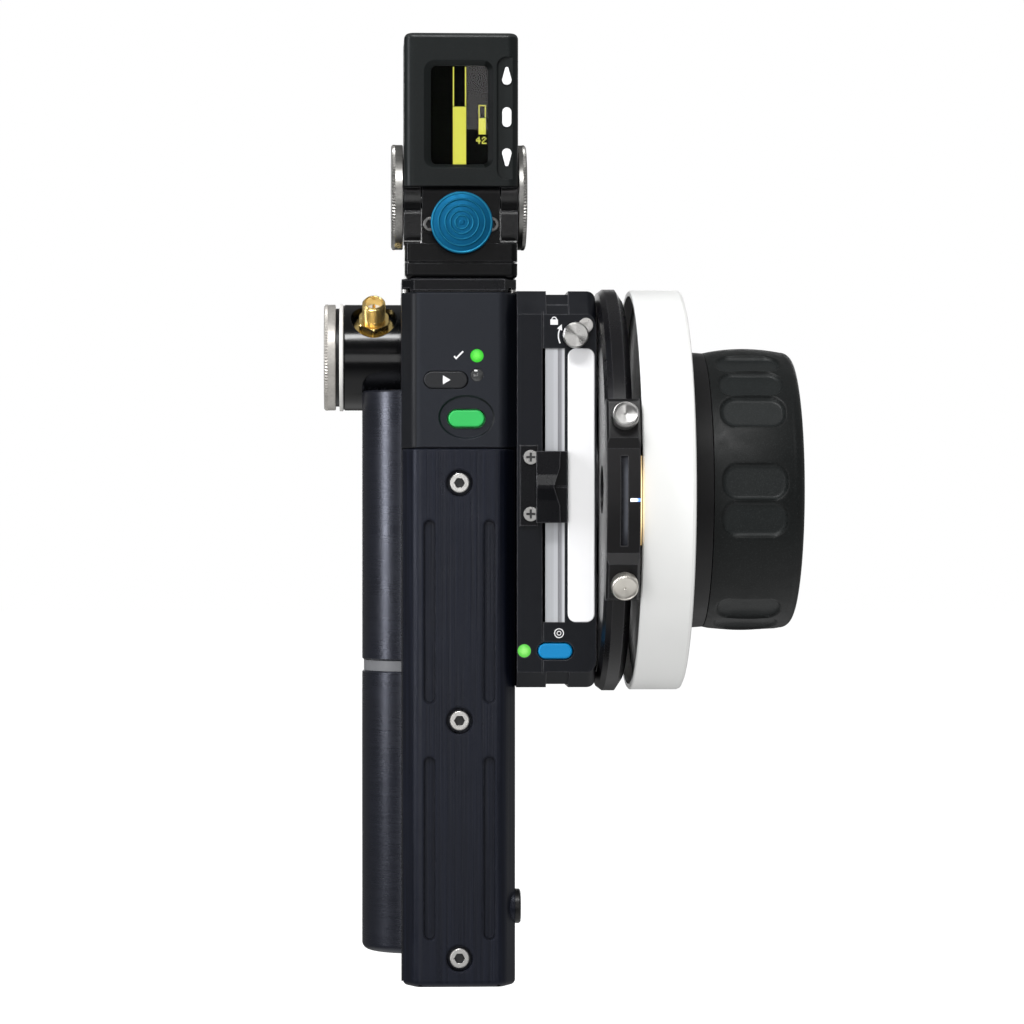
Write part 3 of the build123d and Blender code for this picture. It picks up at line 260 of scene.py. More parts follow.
# dark finish for the insides of screw recesses: painted shade
M["recess"] = black_metal("recess_painted_shade", (0.02, 0.02, 0.02), 0.3, 0.45, spec=0.6)
M["seal"] = plastic("seal_white", (0.78, 0.77, 0.74), (0.4, 0.55), second=(0.7, 0.69, 0.66))
M["ring"] = plastic("ring_white", (0.83, 0.835, 0.82), (0.34, 0.46), speck=0.05, bump=0.05, second=(0.8, 0.805, 0.79), cloud=26, spec=0.4)
M["strip"] = plastic("strip_white", (0.92, 0.92, 0.925), (0.14, 0.22), speck=0.03, bump=0.03, coat=0.2, second=(0.89, 0.89, 0.895))
M["flange"] = black_metal("flange_black", (0.005, 0.0048, 0.0056), 0.24, 0.36, wear=0.8, spec=0.23, line=0.12)
M["carriage"] = black_metal("carriage_black", (0.0056, 0.0053, 0.0056), 0.32, 0.44, wear=0.7, spec=0.25, edge=0.00028, line=0.2)
M["hub"] = black_metal("hub_black", (0.006, 0.0058, 0.006), 0.36, 0.5, spec=0.28)
M["thumb"] = plastic("thumb_black", (0.002, 0.0022, 0.0032), (0.2, 0.3), speck=0.3, second=(0.003, 0.0032, 0.0044), spec=0.13, edge=0.0003, line=0.34)
M["case"] = plastic("case_charcoal", (0.0062, 0.008, 0.008), (0.34, 0.44), speck=0.5, grain=3600, bump=0.4, edge=0.0003, second=(0.0074, 0.0094, 0.0094), spec=0.17)
M["bezel"] = plastic("bezel_charcoal", (0.003, 0.0038, 0.0036), (0.34, 0.44), speck=0.4, grain=3600, bump=0.3, edge=0.0003, second=(0.004, 0.0048, 0.0046), spec=0.05)
# lighter, shinier copy of the case finish for its top edge: a painted highlight
M["case_top_highlight"] = plastic("case_painted_highlight", (0.02, 0.0225, 0.0222), (0.3, 0.4), speck=0.5, grain=3600, bump=0.4, edge=0.0003, second=(0.015, 0.0172, 0.017), spec=0.4)
M["tilt"] = black_metal("tilt_black", (0.002, 0.0021, 0.0023), 0.14, 0.22, wear=0.6, spec=0.15, edge=0.0003, line=0.08)
M["arm"] = black_metal("arm_black", (0.0022, 0.0023, 0.0025), 0.12, 0.2, wear=0.6, spec=0.34, edge=0.0003, line=0.12)
M["keys"] = plastic("key_white", (0.84, 0.85, 0.85), (0.2, 0.3), speck=0.04, bump=0.04)
M["run"] = plastic("run_black", (0.0044, 0.0052, 0.0074), (0.34, 0.44), speck=0.25, spec=0.45)
M["start"] = plastic("start_green", (0.03, 0.47, 0.1), (0.3, 0.4), speck=0.08, bump=0.06, second=(0.027, 0.42, 0.09), spec=0.25)
M["lens_key"] = plastic("lens_blue", (0.002, 0.21, 0.475), (0.3, 0.4), speck=0.08, bump=0.06, second=(0.002, 0.19, 0.44), spec=0.2)
M["board"] = plastic("board_green", (0.02, 0.1, 0.045), (0.3, 0.45), second=(0.025, 0.13, 0.06))
M["switch"] = plastic("switch_grey", (0.06, 0.06, 0.062), (0.4, 0.5))
M["cell"] = plastic("cell_wrap", (0.05, 0.17, 0.33), (0.2, 0.3), second=(0.04, 0.14, 0.29))
M["white_print"] = plastic("white_print", (0.8, 0.8, 0.8), (0.45, 0.55), speck=0.1, second=(0.72, 0.72, 0.73), edge=0.00002)
M["insulator"] = plastic("insulator_white", (0.82, 0.81, 0.77), (0.3, 0.4))
M["screw"] = steel("screw_steel", (0.6, 0.59, 0.57), (0.26, 0.38), metal=0.85)
M["dark_screw"] = steel("screw_dark", (0.4, 0.395, 0.385), (0.24, 0.36), metal=0.9)
M["rocker_steel"] = steel("screw_shaded", (0.15, 0.15, 0.147), (0.24, 0.36), metal=0.9)
M["knurl"] = steel("knurl_silver", (0.5, 0.48, 0.445), (0.36, 0.48), metal=0.55, dirty=0.6, spots=900)
M["knob"] = steel("knob_silver", (0.32, 0.315, 0.3), (0.28, 0.4), metal=0.97, dirty=0.9, spots=1100)
M["bearing"] = steel("bearing_steel", (0.6, 0.6, 0.6), (0.15, 0.25))
M["gold"] = steel("socket_gold", (0.93, 0.7, 0.28), (0.18, 0.28), grain=1800, metal=0.95, dirty=0.2)

LED_Y = FRONT - 0.3
M["ready"] = lamp("led_ready", (0.17, 0.95, 0.1), (0.04, 0.6, 0.03), P(4.6, LED_Y, 166.9), 0.00175, 0.95)
M["lens_lit"] = lamp("led_lens", (0.36, 0.93, 0.22), (0.12, 0.62, 0.07), P(17.1, LED_Y, 88.95), 0.00175, 0.95)
M["led_off"] = plastic("led_off", (0.055, 0.057, 0.058), (0.1, 0.2), coat=0.6, second=(0.02, 0.02, 0.02), cloud=700)

# light grey track, brushed upright, darker on its left part as a painted shadow, with a painted shade line and a
# painted highlight band along its right edge
t = Mat("track_grey")
t.soft_edges(0.00008)
brush = t.noise(1.0, 3, 0.6, vec=t.at(scale=(5200, 5200, 26)))
x = t.axis(0)
painted_shadow_fade = t.remap(x, 0.0246, 0.0252, 0.0, 1.0, smooth=True)
painted_edge_shade = t.remap(x, 0.0258, 0.0263, 0.0, 1.0, smooth=True)
col = t.mix(painted_shadow_fade, (0.45, 0.46, 0.475), (0.52, 0.53, 0.55))
col = t.mix(painted_edge_shade, col, (0.27, 0.27, 0.285))
# lighter band beyond the dark line: a painted highlight along the right edge
col = t.mix(t.remap(x, 0.0268, 0.0274, 0.0, 1.0, smooth=True), col, (0.6, 0.61, 0.63))
col = t.mix(t.remap(brush, 0.35, 0.7, 0.0, 0.5), col, (0.62, 0.63, 0.65), "SOFT_LIGHT")
t.set(Base_Color=col, Metallic=0.35, Roughness=t.remap(brush, 0.3, 0.7, 0.3, 0.46))
t.bump(brush, 0.1, 0.00002)
M["track"] = t

# moulded rubber, and a lighter copy of it painted as light on the dent floors
r = Mat("wheel_rubber")
cloud = r.noise(45, 4, 0.6)
speck = r.noise(2600, 3, 0.7)
col = r.mix(r.remap(cloud, 0.35, 0.7, 0, 1), (0.0036, 0.0047, 0.0047), (0.0048, 0.0061, 0.0061))
col = r.mix(r.remap(speck, 0.53, 0.8, 0, 0.6), col, (0.028, 0.032, 0.032))
r.set(Base_Color=col, Roughness=r.remap(r.noise(300, 3), 0.3, 0.7, 0.42, 0.54), Specular_IOR_Level=0.22, Sheen_Weight=0.02, Sheen_Roughness=0.5)
r.bump(speck, 0.6, 0.00006)
M["rubber"] = r
# lighter copy of the rubber for the dent floors: painted light
rf = Mat("wheel_rubber_floor")
cloud = rf.noise(45, 4, 0.6)
speck = rf.noise(2600, 3, 0.7)
col = rf.mix(rf.remap(cloud, 0.35, 0.7, 0, 1), (0.0078, 0.0098, 0.01), (0.0098, 0.0122, 0.0123))
col = rf.mix(rf.remap(speck, 0.52, 0.8, 0, 0.6), col, (0.036, 0.041, 0.041))
rf.set(Base_Color=col, Roughness=rf.remap(rf.noise(300, 3), 0.3, 0.7, 0.4, 0.5), Specular_IOR_Level=0.26, Sheen_Weight=0.02, Sheen_Roughness=0.5)
rf.bump(speck, 0.6, 0.00006)
M["rubber_floor"] = rf

# blue anodised disc, turned rings; lighter lines at the ridges are painted highlights
c0 = P(0.5, -25, 201.8)
bl = Mat("rocker_blue")
bl.soft_edges(0.00012)
d = bl.vec("SUBTRACT", bl.co, tuple(c0)).outputs["Vector"]
rad = bl.vec("LENGTH", bl.vec("CROSS_PRODUCT", (0, 1, 0), d).outputs["Vector"]).outputs["Value"]
rings = bl.math("SINE", bl.math("MULTIPLY", rad, 21000.0))
cl = bl.noise(260, 4, 0.6)
col = bl.mix(bl.remap(cl, 0.35, 0.7, 0, 1), (0.0002, 0.098, 0.215), (0.0003, 0.11, 0.235))
col = bl.mix(bl.remap(rings, 0.2, 1.0, 0.0, 0.2), col, (0.003, 0.19, 0.37))
# lighter lines at these radii: painted highlights on the ridges
for r0 in (0.00175, 0.003, 0.0044, 0.0061, 0.0078):
    near = bl.math("ABSOLUTE", bl.math("SUBTRACT", rad, r0))
    col = bl.mix(bl.remap(near, 0.00008, 0.00026, 0.55, 0.0, smooth=True), col, (0.03, 0.34, 0.52))
bl.set(Base_Color=col, Metallic=0.8, Roughness=bl.remap(bl.noise(600, 3), 0.3, 0.7, 0.46, 0.6), Anisotropic=0.2)
bl.round_tangent(c0, (0, 1, 0))
bl.bump(rings, 0.2, 0.00003)
M["rocker"] = bl

# amber edge light and the small lit mark
am = Mat("index_amber")
z = am.axis(2)
mid = am.remap(am.math("ABSOLUTE", am.math("SUBTRACT", z, 0.1287)), 0.003, 0.0118, 1.0, 0.12, smooth=True)
acol = am.mix(mid, (0.45, 0.26, 0.07), (1.0, 0.78, 0.42))
aglow = am.mix(mid, (0.05, 0.03, 0.01), (1.0, 0.78, 0.42))
am.set(Base_Color=acol, Roughness=am.remap(am.noise(900, 3), 0.3, 0.7, 0.2, 0.32), Emission_Color=aglow, Emission_Strength=1.05)
M["amber"] = am
mk = Mat("index_mark")
mx = mk.axis(0)
mcol = mk.mix(mk.remap(mx, 0.0436, 0.0448, 0.0, 1.0, smooth=True), (0.9, 0.95, 1.0), (0.08, 0.2, 1.0))
mk.set(Base_Color=mcol, Roughness=mk.remap(mk.noise(2000), 0.3, 0.7, 0.2, 0.3), Emission_Color=mcol, Emission_Strength=1.6)
M["mark"] = mk
# window glaze, painted lighter towards its right side and middle next to the index lamp: painted light from that lamp
gz = Mat("index_glaze")
gz.soft_edges(0.0001)
gx = gz.remap(gz.axis(0), 0.0405, 0.0418, 0.0, 1.0, smooth=True)
gend = gz.remap(gz.math("ABSOLUTE", gz.math("SUBTRACT", gz.axis(2), 0.1287)), 0.006, 0.0115, 1.0, 0.25, smooth=True)
gcol = gz.mix(gz.math("MULTIPLY", gx, gend), (0.006, 0.006, 0.008), (0.085, 0.09, 0.105))
gcol = gz.mix(gz.remap(gz.noise(900, 3), 0.4, 0.75, 0.0, 0.3), gcol, (0.03, 0.032, 0.038))
gz.set(Base_Color=gcol, Roughness=gz.remap(gz.noise(300, 3), 0.3, 0.7, 0.4, 0.5), Specular_IOR_Level=0.1)
M["glaze"] = gz

# screen: dark ground, slightly olive on its left half
sc = Mat("screen_dark")
sx = sc.axis(0)
g = sc.remap(sx, -0.0076, 0.0076, 0.0, 1.0, smooth=True)
pix = sc.noise(5200, 1, 0.5)
col = sc.mix(g, (0.0006, 0.0009, 0.0002), (0.0034, 0.0036, 0.0034))
col = sc.mix(sc.remap(pix, 0.55, 0.8, 0, 0.3), col, (0.007, 0.008, 0.005))
sc.set(Base_Color=col, Roughness=sc.remap(sc.noise(300), 0.3, 0.7, 0.4, 0.5), Specular_IOR_Level=0.0)
M["screen"] = sc
ye = Mat("screen_yellow")
yn = ye.noise(4200, 1, 0.5)
ycol = ye.mix(ye.remap(yn, 0.4, 0.7, 0, 0.5), (0.78, 0.76, 0.07), (0.7, 0.68, 0.05))
ye.set(Base_Color=(0.02, 0.02, 0.005, 1.0), Roughness=ye.remap(yn, 0.3, 0.7, 0.35, 0.45), Emission_Color=ycol, Emission_Strength=0.95)
M["yellow"] = ye
gl = Mat("screen_glass")
gl.set(Base_Color=(0.93, 0.95, 0.95, 1.0), Roughness=gl.remap(gl.noise(900, 4, 0.6), 0.3, 0.7, 0.003, 0.009), Transmission_Weight=1.0, IOR=1.2)
M["glass"] = gl

# thumb screws and lock knob: turned stainless about their own axes
ANG = {"upper_index_screw": 18.0, "lower_index_screw": -24.0}


def radial(a):
    a = math.radians(a)
    return Vector((0, -math.cos(a), math.sin(a)))


LOCK = P(30.5, FRONT - 5, 172.2)
M["lock"] = steel("lock_turned", (0.52, 0.515, 0.5), (0.26, 0.34), aniso=0.9, centre=LOCK, axis=(0, 1, 0), dirty=0.12)

ASSIGN = {
    "panel": ["panel_housing"], "mount": ["mount_plate"], "slider_case": ["slider_housing"], "frame": ["grip_frame", "encoder_body"],
    "grip": ["grip_cover"], "tube": ["battery_holder", "battery_shell"], "cross_tube": ["antenna_tube"],
    "collar_grey": ["battery_collar"], "socket_black": ["data_socket"], "seal": ["tube_seal_ring"], "ring": ["marking_ring"],
    "strip": ["marking_strip"], "track": ["slider_track"], "flange": ["index_flange"], "carriage": ["index_carriage"],
    "hub": ["knob_hub", "knob_cap"], "thumb": ["slider_carriage", "slider_button"], "case": ["display_case", "display_back"],
    "tilt": ["tilt_base"], "keys": ["up_key", "set_key", "down_key"], "run": ["run_button"], "start": ["start_button"],
    "lens_key": ["lens_button"], "board": ["panel_board", "main_board"], "switch": ["tact_switches"], "cell": ["battery_cell"],
    "insulator": ["antenna_insulator"], "screw": ["grip_screws", "mount_screws", "lock_pivot"], "dark_screw": ["carriage_screws"], "rocker_steel": ["rocker_screws"],
    "knurl": ["tube_cap"], "knob": ["left_tilt_knob", "right_tilt_knob"], "bearing": ["knob_bearings", "guide_rods", "hinge_axle", "knob_spindle"],
    "gold": ["antenna_socket"], "ready": ["ready_led"], "lens_lit": ["lens_led"], "led_off": ["run_led"], "rubber": ["knob_grip"],
    "rocker": ["zoom_rocker"], "amber": ["index_light"], "glaze": ["index_window"], "screen": ["display_panel"],
    "glass": ["display_window"], "lock": ["lock_lever", "upper_index_screw", "lower_index_screw"],
}
for key, names in ASSIGN.items():
    for n in names:
        mesh = NODES[n].data
        mesh.materials.clear()
        mesh.materials.append(M[key].m)


def second(node, key, test):
    """Faces of a node whose middle passes the test take a second finish."""
    mesh = NODES[node].data
    mesh.materials.append(M[key].m)
    for p in mesh.polygons:
        if test(p.center, p.normal):
            p.material_index = len(mesh.materials) - 1


second("tube_cap", "neck", lambda c, n: c.x > -0.03289)
second("index_light", "mark", lambda c, n: c.x < 0.04516)
second("display_case", "arm", lambda c, n: c.z < 0.2115)
# long bevel on the left of the panel, painted darker and less shiny: painted shade
second("panel_housing", "panel_bevel_shade", lambda c, n: n.x < -0.3 and n.y < -0.3)
# walls of the finger grooves, painted near black: painted shade
second("grip_cover", "groove", lambda c, n: 0.005 < abs(c.x) < 0.0108 and c.z < 0.125 and P(0, FRONT, 0).y + 0.00004 < c.y < P(0, FRONT, 0).y + 0.00126 and abs(n.y) < 0.8)
# the slope round the screen that faces left stays in shade
second("display_case", "bezel", lambda c, n: n.x < -0.2 and -0.001 < c.x < 0.0125 and 0.214 < c.z < 0.2475 and c.y < P(0, FRONT + 4, 0).y)
# the upper edge of the display case, painted lighter and shinier: a painted highlight
second("display_case", "case_top_highlight", lambda c, n: c.z > 0.2506 and n.z > 0.25 and n.y < -0.15)
# recesses of the small screws, painted dark: painted shade
HEAD = (FRONT + 0.4 + SHIFT) / 1000
second("grip_screws", "recess", lambda c, n: c.y > HEAD + 0.0002 and c.y < HEAD + 0.0018 and min(math.hypot(c.x, c.z - z0 / 1000) for z0 in (7.7, 70.5, 133.3)) < 0.00147)
second("carriage_screws", "recess", lambda c, n: P(0, FRONT - 1.85, 0).y < c.y < P(0, FRONT - 1.25, 0).y and min(math.hypot(c.x - 0.01875, c.z - z0 / 1000) for z0 in (140.1, 125.1)) < 0.00125)
# the rocker screw recesses borrow the black neck finish: painted shade
second("rocker_screws", "neck", lambda c, n: P(0, -19.1, 0).y < c.y < P(0, -18.3, 0).y and min(math.hypot(c.x - x0 / 1000, c.z - 0.2018) for x0 in (-7.65, 8.65)) < 0.00127)


# ---------------------------------------------------------------- mesh kit
def finish_mesh(name, bm, mat, body, angle=32, local=None):
    me = bpy.data.meshes.new(name)
    bmesh.ops.recalc_face_normals(bm, faces=bm.faces)
    bm.to_mesh(me)
    bm.free()
    for p in me.polygons:
        p.use_smooth = True
    me.set_sharp_from_angle(angle=math.radians(angle))
    for one in (mat if isinstance(mat, (list, tuple)) else [mat]):
        me.materials.append(one.m)
    o = bpy.data.objects.new(name, me)
    bpy.context.scene.collection.objects.link(o)
    if local is not None:
        o.matrix_world = local
    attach(o, body)
    return o


def grid(bm, rows, close_u=True, close_v=False):
    """Quads between rows of points; each row is closed on itself if close_u."""
    vs = [[bm.verts.new(p) for p in row] for row in rows]
    nv, nu = len(vs), len(vs[0])
    for j in range(nv if close_v else nv - 1):
        for i in range(nu if close_u else nu - 1):
            a, b = vs[j][i], vs[j][(i + 1) % nu]
            c, d = vs[(j + 1) % nv][(i + 1) % nu], vs[(j + 1) % nv][i]
            bm.faces.new((a, b, c, d))
    return vs


def plate(bm, pts, y0, y1):
    """A flat outline in layout X and Z, made solid between two depths."""
    lo = [bm.verts.new(P(px, y0, pz)) for px, pz in pts]
    hi = [bm.verts.new(P(px, y1, pz)) for px, pz in pts]
    bm.faces.new(lo)
    bm.faces.new(hi[::-1])
    n = len(pts)
    for i in range(n):
        bm.faces.new((lo[i], lo[(i + 1) % n], hi[(i + 1) % n], hi[i]))


def ribbon(bm, left, right, y0, y1):
    """A solid band between two matching lines of points, open at its ends or closed in a loop when they meet."""
    n = len(left)
    for i in range(n - 1):
        plate(bm, [left[i], left[i + 1], right[i + 1], right[i]], y0, y1)


def arc_band(bm, cx, cz, r0, r1, a0, a1, y0, y1, n=36):
    """A curved band as one closed solid; a full turn closes on itself."""
    full = abs(a1 - a0) > 359.9
    steps = n if full else n + 1
    loops = []
    for rr, yy in ((r0, y0), (r1, y0), (r1, y1), (r0, y1)):
        loops.append([P(cx + rr * math.cos(math.radians(a0 + (a1 - a0) * i / n)), yy, cz + rr * math.sin(math.radians(a0 + (a1 - a0) * i / n))) for i in range(steps)])
    rows = [[loops[k][i] for k in range(4)] for i in range(steps)]
    vs = grid(bm, rows, True, full)
    if not full:
        bm.faces.new(vs[0][::-1])
        bm.faces.new(vs[-1])


# ---------------------------------------------------------------- hand wheel rubber
def wheel_radius(px):
    if px <= 87.0:
        k = (px - 66.15) / (87.0 - 66.15)
        return 37.0 + (37.25 - 37.0) * k + 1.09 * 4 * k * (1 - k) * (1.0 - 0.02 * k)
    k = min(1.0, (px - 87.0) / 3.0)
    return 37.25 - 3.05 * (1 - math.sqrt(max(0.0, 1 - k * k))) if k < 1 else 34.2


def rounded_box(u, v, hu, hv, rr):
    qu, qv = abs(u) - hu + rr, abs(v) - hv + rr
    return math.hypot(max(qu, 0), max(qv, 0)) + min(max(qu, qv), 0) - rr


def step(k):
    k = max(0.0, min(1.0, k))
    return k * k * (3 - 2 * k)


USED = (4, 3, 2, 0, -1)
DENT_A = [3.1 + 15 * k for k in range(24) if ((k + 3) % 8) - 3 in USED]


def wheel_point(px, rr, a):
    return P(px, -rr * math.cos(a), KNOB_Z + rr * math.sin(a))


bm = bmesh.new()
TURN = 576
stations = [66.15 + 0.28 * i for i in range(75)] + [87.0 + 3.0 * math.sin(math.radians(i * 90 / 12)) for i in range(13)]
rows = []
rows.append([wheel_point(66.15, 33.06, 2 * math.pi * i / TURN) for i in range(TURN)])
for s in stations:
    base = wheel_radius(s)
    row = []
    for i in range(TURN):
        a = 2 * math.pi * i / TURN
        rr = base
        deg = math.degrees(a)
        for da in DENT_A:
            off = (deg - da + 180) % 360 - 180
            if abs(off) < 9.5:
                dist = rounded_box(s - 76.75, math.radians(off) * 37.5, 8.35, 4.55, 3.9)
                if dist < 0.6:
                    floor = min(base, 36.62 / math.cos(math.radians(off)))
                    rr = min(rr, base + (floor - base) * step((0.5 - dist) / 1.15))
        row.append(wheel_point(s, rr, a))
    rows.append(row)
for rr in (33.2, 31.0, 28.0, 25.2, 24.15):
    rows.append([wheel_point(90.0 if rr > 24.5 else 89.92, rr, 2 * math.pi * i / TURN) for i in range(TURN)])
rows.append([wheel_point(86.05, 24.15, 2 * math.pi * i / TURN) for i in range(TURN)])
rows.append([wheel_point(86.05, 33.06, 2 * math.pi * i / TURN) for i in range(TURN)])
grid(bm, rows, True, True)
rubber = finish_mesh("wheel_rubber", bm, [M["rubber"], M["rubber_floor"]], "hand_wheel", 40)
# faces deep in the dents take the lighter rubber: painted light
for p in rubber.data.polygons:
    px = p.center.x * 1000
    rr = math.hypot(p.center.y * 1000 - SHIFT, p.center.z * 1000 - KNOB_Z)
    if 68.0 < px < 86.0 and 36.0 < rr < wheel_radius(px) - 0.45:
        p.material_index = 1
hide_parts("knob_grip")


# ---------------------------------------------------------------- antenna socket with a real thread
def placed(centre, z_dir, x_dir=(1, 0, 0)):
    z_dir = Vector(z_dir).normalized()
    x_dir = Vector(x_dir)
    y_dir = z_dir.cross(x_dir).normalized()
    x_dir = y_dir.cross(z_dir)
    m = Matrix.Identity(4)
    for i in range(3):
        m[i][0], m[i][1], m[i][2], m[i][3] = x_dir[i], y_dir[i], z_dir[i], centre[i]
    return m


def turned(bm, prof, n=64, close=True):
    """A turned solid about local Z from (radius, height) points in millimetres."""
    rows = [[Vector((rr * math.cos(2 * math.pi * i / n), rr * math.sin(2 * math.pi * i / n), h)) / 1000 for i in range(n)] for rr, h in prof]
    return grid(bm, rows, True, close)


bm = bmesh.new()
PITCH = 25.4 / 36
N = 72
prof = []
rows = []


def ring_row(rr, h):
    return [Vector((rr * math.cos(2 * math.pi * i / N), rr * math.sin(2 * math.pi * i / N), h)) / 1000 for i in range(N)]


rows.append(ring_row(2.85, 14.25))
rows.append(ring_row(2.85, 14.75))
h = 14.75
while h < 20.25:
    row = []
    for i in range(N):
        ph = (h / PITCH - i / N) % 1.0
        tri = 1 - abs(2 * ph - 1)
        crest = min(1.0, tri * 1.45)
        fade = step((h - 14.75) / 0.5) * step((20.45 - h) / 0.55)
        rr = 2.74 + 0.435 * crest * fade
        row.append(Vector((rr * math.cos(2 * math.pi * i / N), rr * math.sin(2 * math.pi * i / N), h)) / 1000)
    rows.append(row)
    h += PITCH / 12
rows += [ring_row(2.78, 20.3), ring_row(2.68, 20.5), ring_row(2.42, 20.5), ring_row(2.32, 20.38), ring_row(2.32, 17.2), ring_row(2.32, 14.25)]
grid(bm, rows, True, True)
# flange with a softened rim
turned(bm, [(0.4, 10.5), (5.4, 10.5), (5.6, 10.66), (5.6, 10.95), (5.42, 11.1), (0.4, 11.1)])
# hexagon with turned corners
across = 8.0 / 2
n = 96
hexrows = []
for hh, cut in ((11.1, 0.28), (11.4, 0.0), (14.0, 0.0), (14.3, 0.34)):
    row = []
    for i in range(n):
        a = 2 * math.pi * i / n
        flat = across / math.cos((a + math.pi / 6) % (math.pi / 3) - math.pi / 6)
        row.append(Vector((min(flat, 4.56 - cut) * math.cos(a), min(flat, 4.56 - cut) * math.sin(a), hh)) / 1000)
    hexrows.append(row)
inner = [[Vector((0.6 * math.cos(2 * math.pi * i / n), 0.6 * math.sin(2 * math.pi * i / n), hh)) / 1000 for i in range(n)] for hh in (14.3, 11.1)]
grid(bm, hexrows + inner, True, True)
# centre contact
turned(bm, [(0.02, 12.9), (0.45, 12.9), (0.45, 19.2), (0.28, 19.55), (0.02, 19.6)], 24)
ANT = (0, -math.sqrt(0.5), math.sqrt(0.5))
sma = finish_mesh("antenna_socket_threaded", bm, M["gold"], "handle", 30, local=placed(P(-22.5, 20, 168), ANT))
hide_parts("antenna_socket")

# ---------------------------------------------------------------- thumb screws
for node, a in ANG.items():
    bm = bmesh.new()
    n = 48 * 6
    rows = []
    for rr, hh, kn in ((1.5, 55.0, 0), (1.5, 59.3, 0), (3.2, 59.3, 0), (3.52, 59.55, 1), (3.52, 61.75, 1), (3.42, 61.95, 0.3), (3.16, 62.28, 0), (3.04, 62.3, 0),
                       (2.9, 62.2, 0), (2.2, 62.13, 0), (1.3, 62.06, 0), (0.35, 62.0, 0), (0.2, 61.86, 0), (0.02, 61.84, 0)):
        row = []
        for i in range(n):
            th = 2 * math.pi * i / n
            dent = 0.12 * kn * (0.5 - 0.5 * math.cos(48 * th))
            row.append(Vector(((rr - dent) * math.cos(th), (rr - dent) * math.sin(th), hh)) / 1000)
        rows.append(row)
    rows.append([Vector((0.02 * math.cos(2 * math.pi * i / n), 0.02 * math.sin(2 * math.pi * i / n), 55.0)) / 1000 for i in range(n)])
    grid(bm, rows, True, True)
    key = "turned_" + node
    # the lower screw is painted much lighter than the upper one: a painted reflection of the pale table below, and
    # painted shade on the upper screw
    M[key] = steel(key, (0.3, 0.297, 0.29) if a > 0 else (0.72, 0.69, 0.63), (0.28, 0.36), aniso=0.75, dirty=0.12, centre=(0, 0, 0), axis=(0, 0, 1), edge=0.00005)
    o = finish_mesh(node + "_turned", bm, M[key], node.replace("_index", ""), 30, local=placed(P(41.2, 0, KNOB_Z), radial(a)))
    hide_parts(node)

# ---------------------------------------------------------------- screen
bm = bmesh.new()


def rounded(cx, cz, w, hgt, rr, seg=8):
    pts = []
    for qx, qz, a0 in ((1, 1, 0), (-1, 1, 90), (-1, -1, 180), (1, -1, 270)):
        for i in range(seg + 1):
            a = math.radians(a0 + 90 * i / seg)
            pts.append((cx + qx * (w / 2 - rr) + rr * math.cos(a), cz + qz * (hgt / 2 - rr) + rr * math.sin(a)))
    return pts


for y0, y1 in ((FRONT + 1.25, FRONT + 1.9),):
    plate(bm, rounded(0, 230.5, 15.06, 26.06, 1.5), y0, y1)
glass = finish_mesh("screen_glass", bm, M["glass"], "display")
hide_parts("display_window")

bm = bmesh.new()
GY0, GY1 = FRONT + 2.12, FRONT + 2.19
plate(bm, [(-1.7, 217.6), (1.8, 217.6), (1.8, 232.8), (-1.7, 232.8)], GY0, GY1)
for bx in (-1.7, 1.5):
    plate(bm, [(bx, 233.0), (bx + 0.3, 233.0), (bx + 0.3, 243.3), (bx, 243.3)], GY0, GY1)
plate(bm, [(5.1, 225.5), (7.0, 225.5), (7.0, 229.8), (5.1, 229.8)], GY0, GY1)
for bx in (5.1, 6.74):
    plate(bm, [(bx, 230.0), (bx + 0.26, 230.0), (bx + 0.26, 233.0), (bx, 233.0)], GY0, GY1)
plate(bm, [(5.1, 233.0), (7.0, 233.0), (7.0, 233.26), (5.1, 233.26)], GY0, GY1)
DIGITS = {"4": ["..#.", ".##.", "#.#.", "####", "..#.", "..#."], "2": [".##.", "#..#", "..#.", ".#..", "#...", "####"]}
px0, pz0, cell = 4.45, 223.0, 0.31
for k, ch in enumerate("42"):
    for j, line in enumerate(DIGITS[ch]):
        for i, dot in enumerate(line):
            if dot == "#":
                qx, qz = px0 + k * 1.5 + i * cell, pz0 + (5 - j) * cell
                plate(bm, [(qx, qz), (qx + cell, qz), (qx + cell, qz + cell), (qx, qz + cell)], GY0, GY1)
finish_mesh("screen_bars", bm, M["yellow"], "display")

# ---------------------------------------------------------------- printed marks
INK0, INK1 = FRONT - 0.035, FRONT + 0.02
# tick beside the ready light
bm = bmesh.new()
plate(bm, [(-1.6, 166.6), (-0.9, 165.9), (1.1, 167.9), (0.8, 168.2), (-0.9, 166.5), (-1.3, 166.9)], INK0, INK1)
finish_mesh("ready_mark", bm, M["white_print"], "handle")
# triangle on the run key
bm = bmesh.new()
plate(bm, [(-4.4, 159.3), (-2.4, 160.5), (-4.4, 161.7)], FRONT - 0.285, FRONT - 0.2)
finish_mesh("run_mark", bm, M["white_print"], "run_key")
# rings above the lens key
bm = bmesh.new()
arc_band(bm, 26.3, 93.6, 1.05, 1.3, 0, 360, INK0, INK1, 48)
arc_band(bm, 26.3, 93.6, 0.4, 0.62, 0, 360, INK0, INK1, 32)
finish_mesh("lens_mark", bm, M["white_print"], "handle")
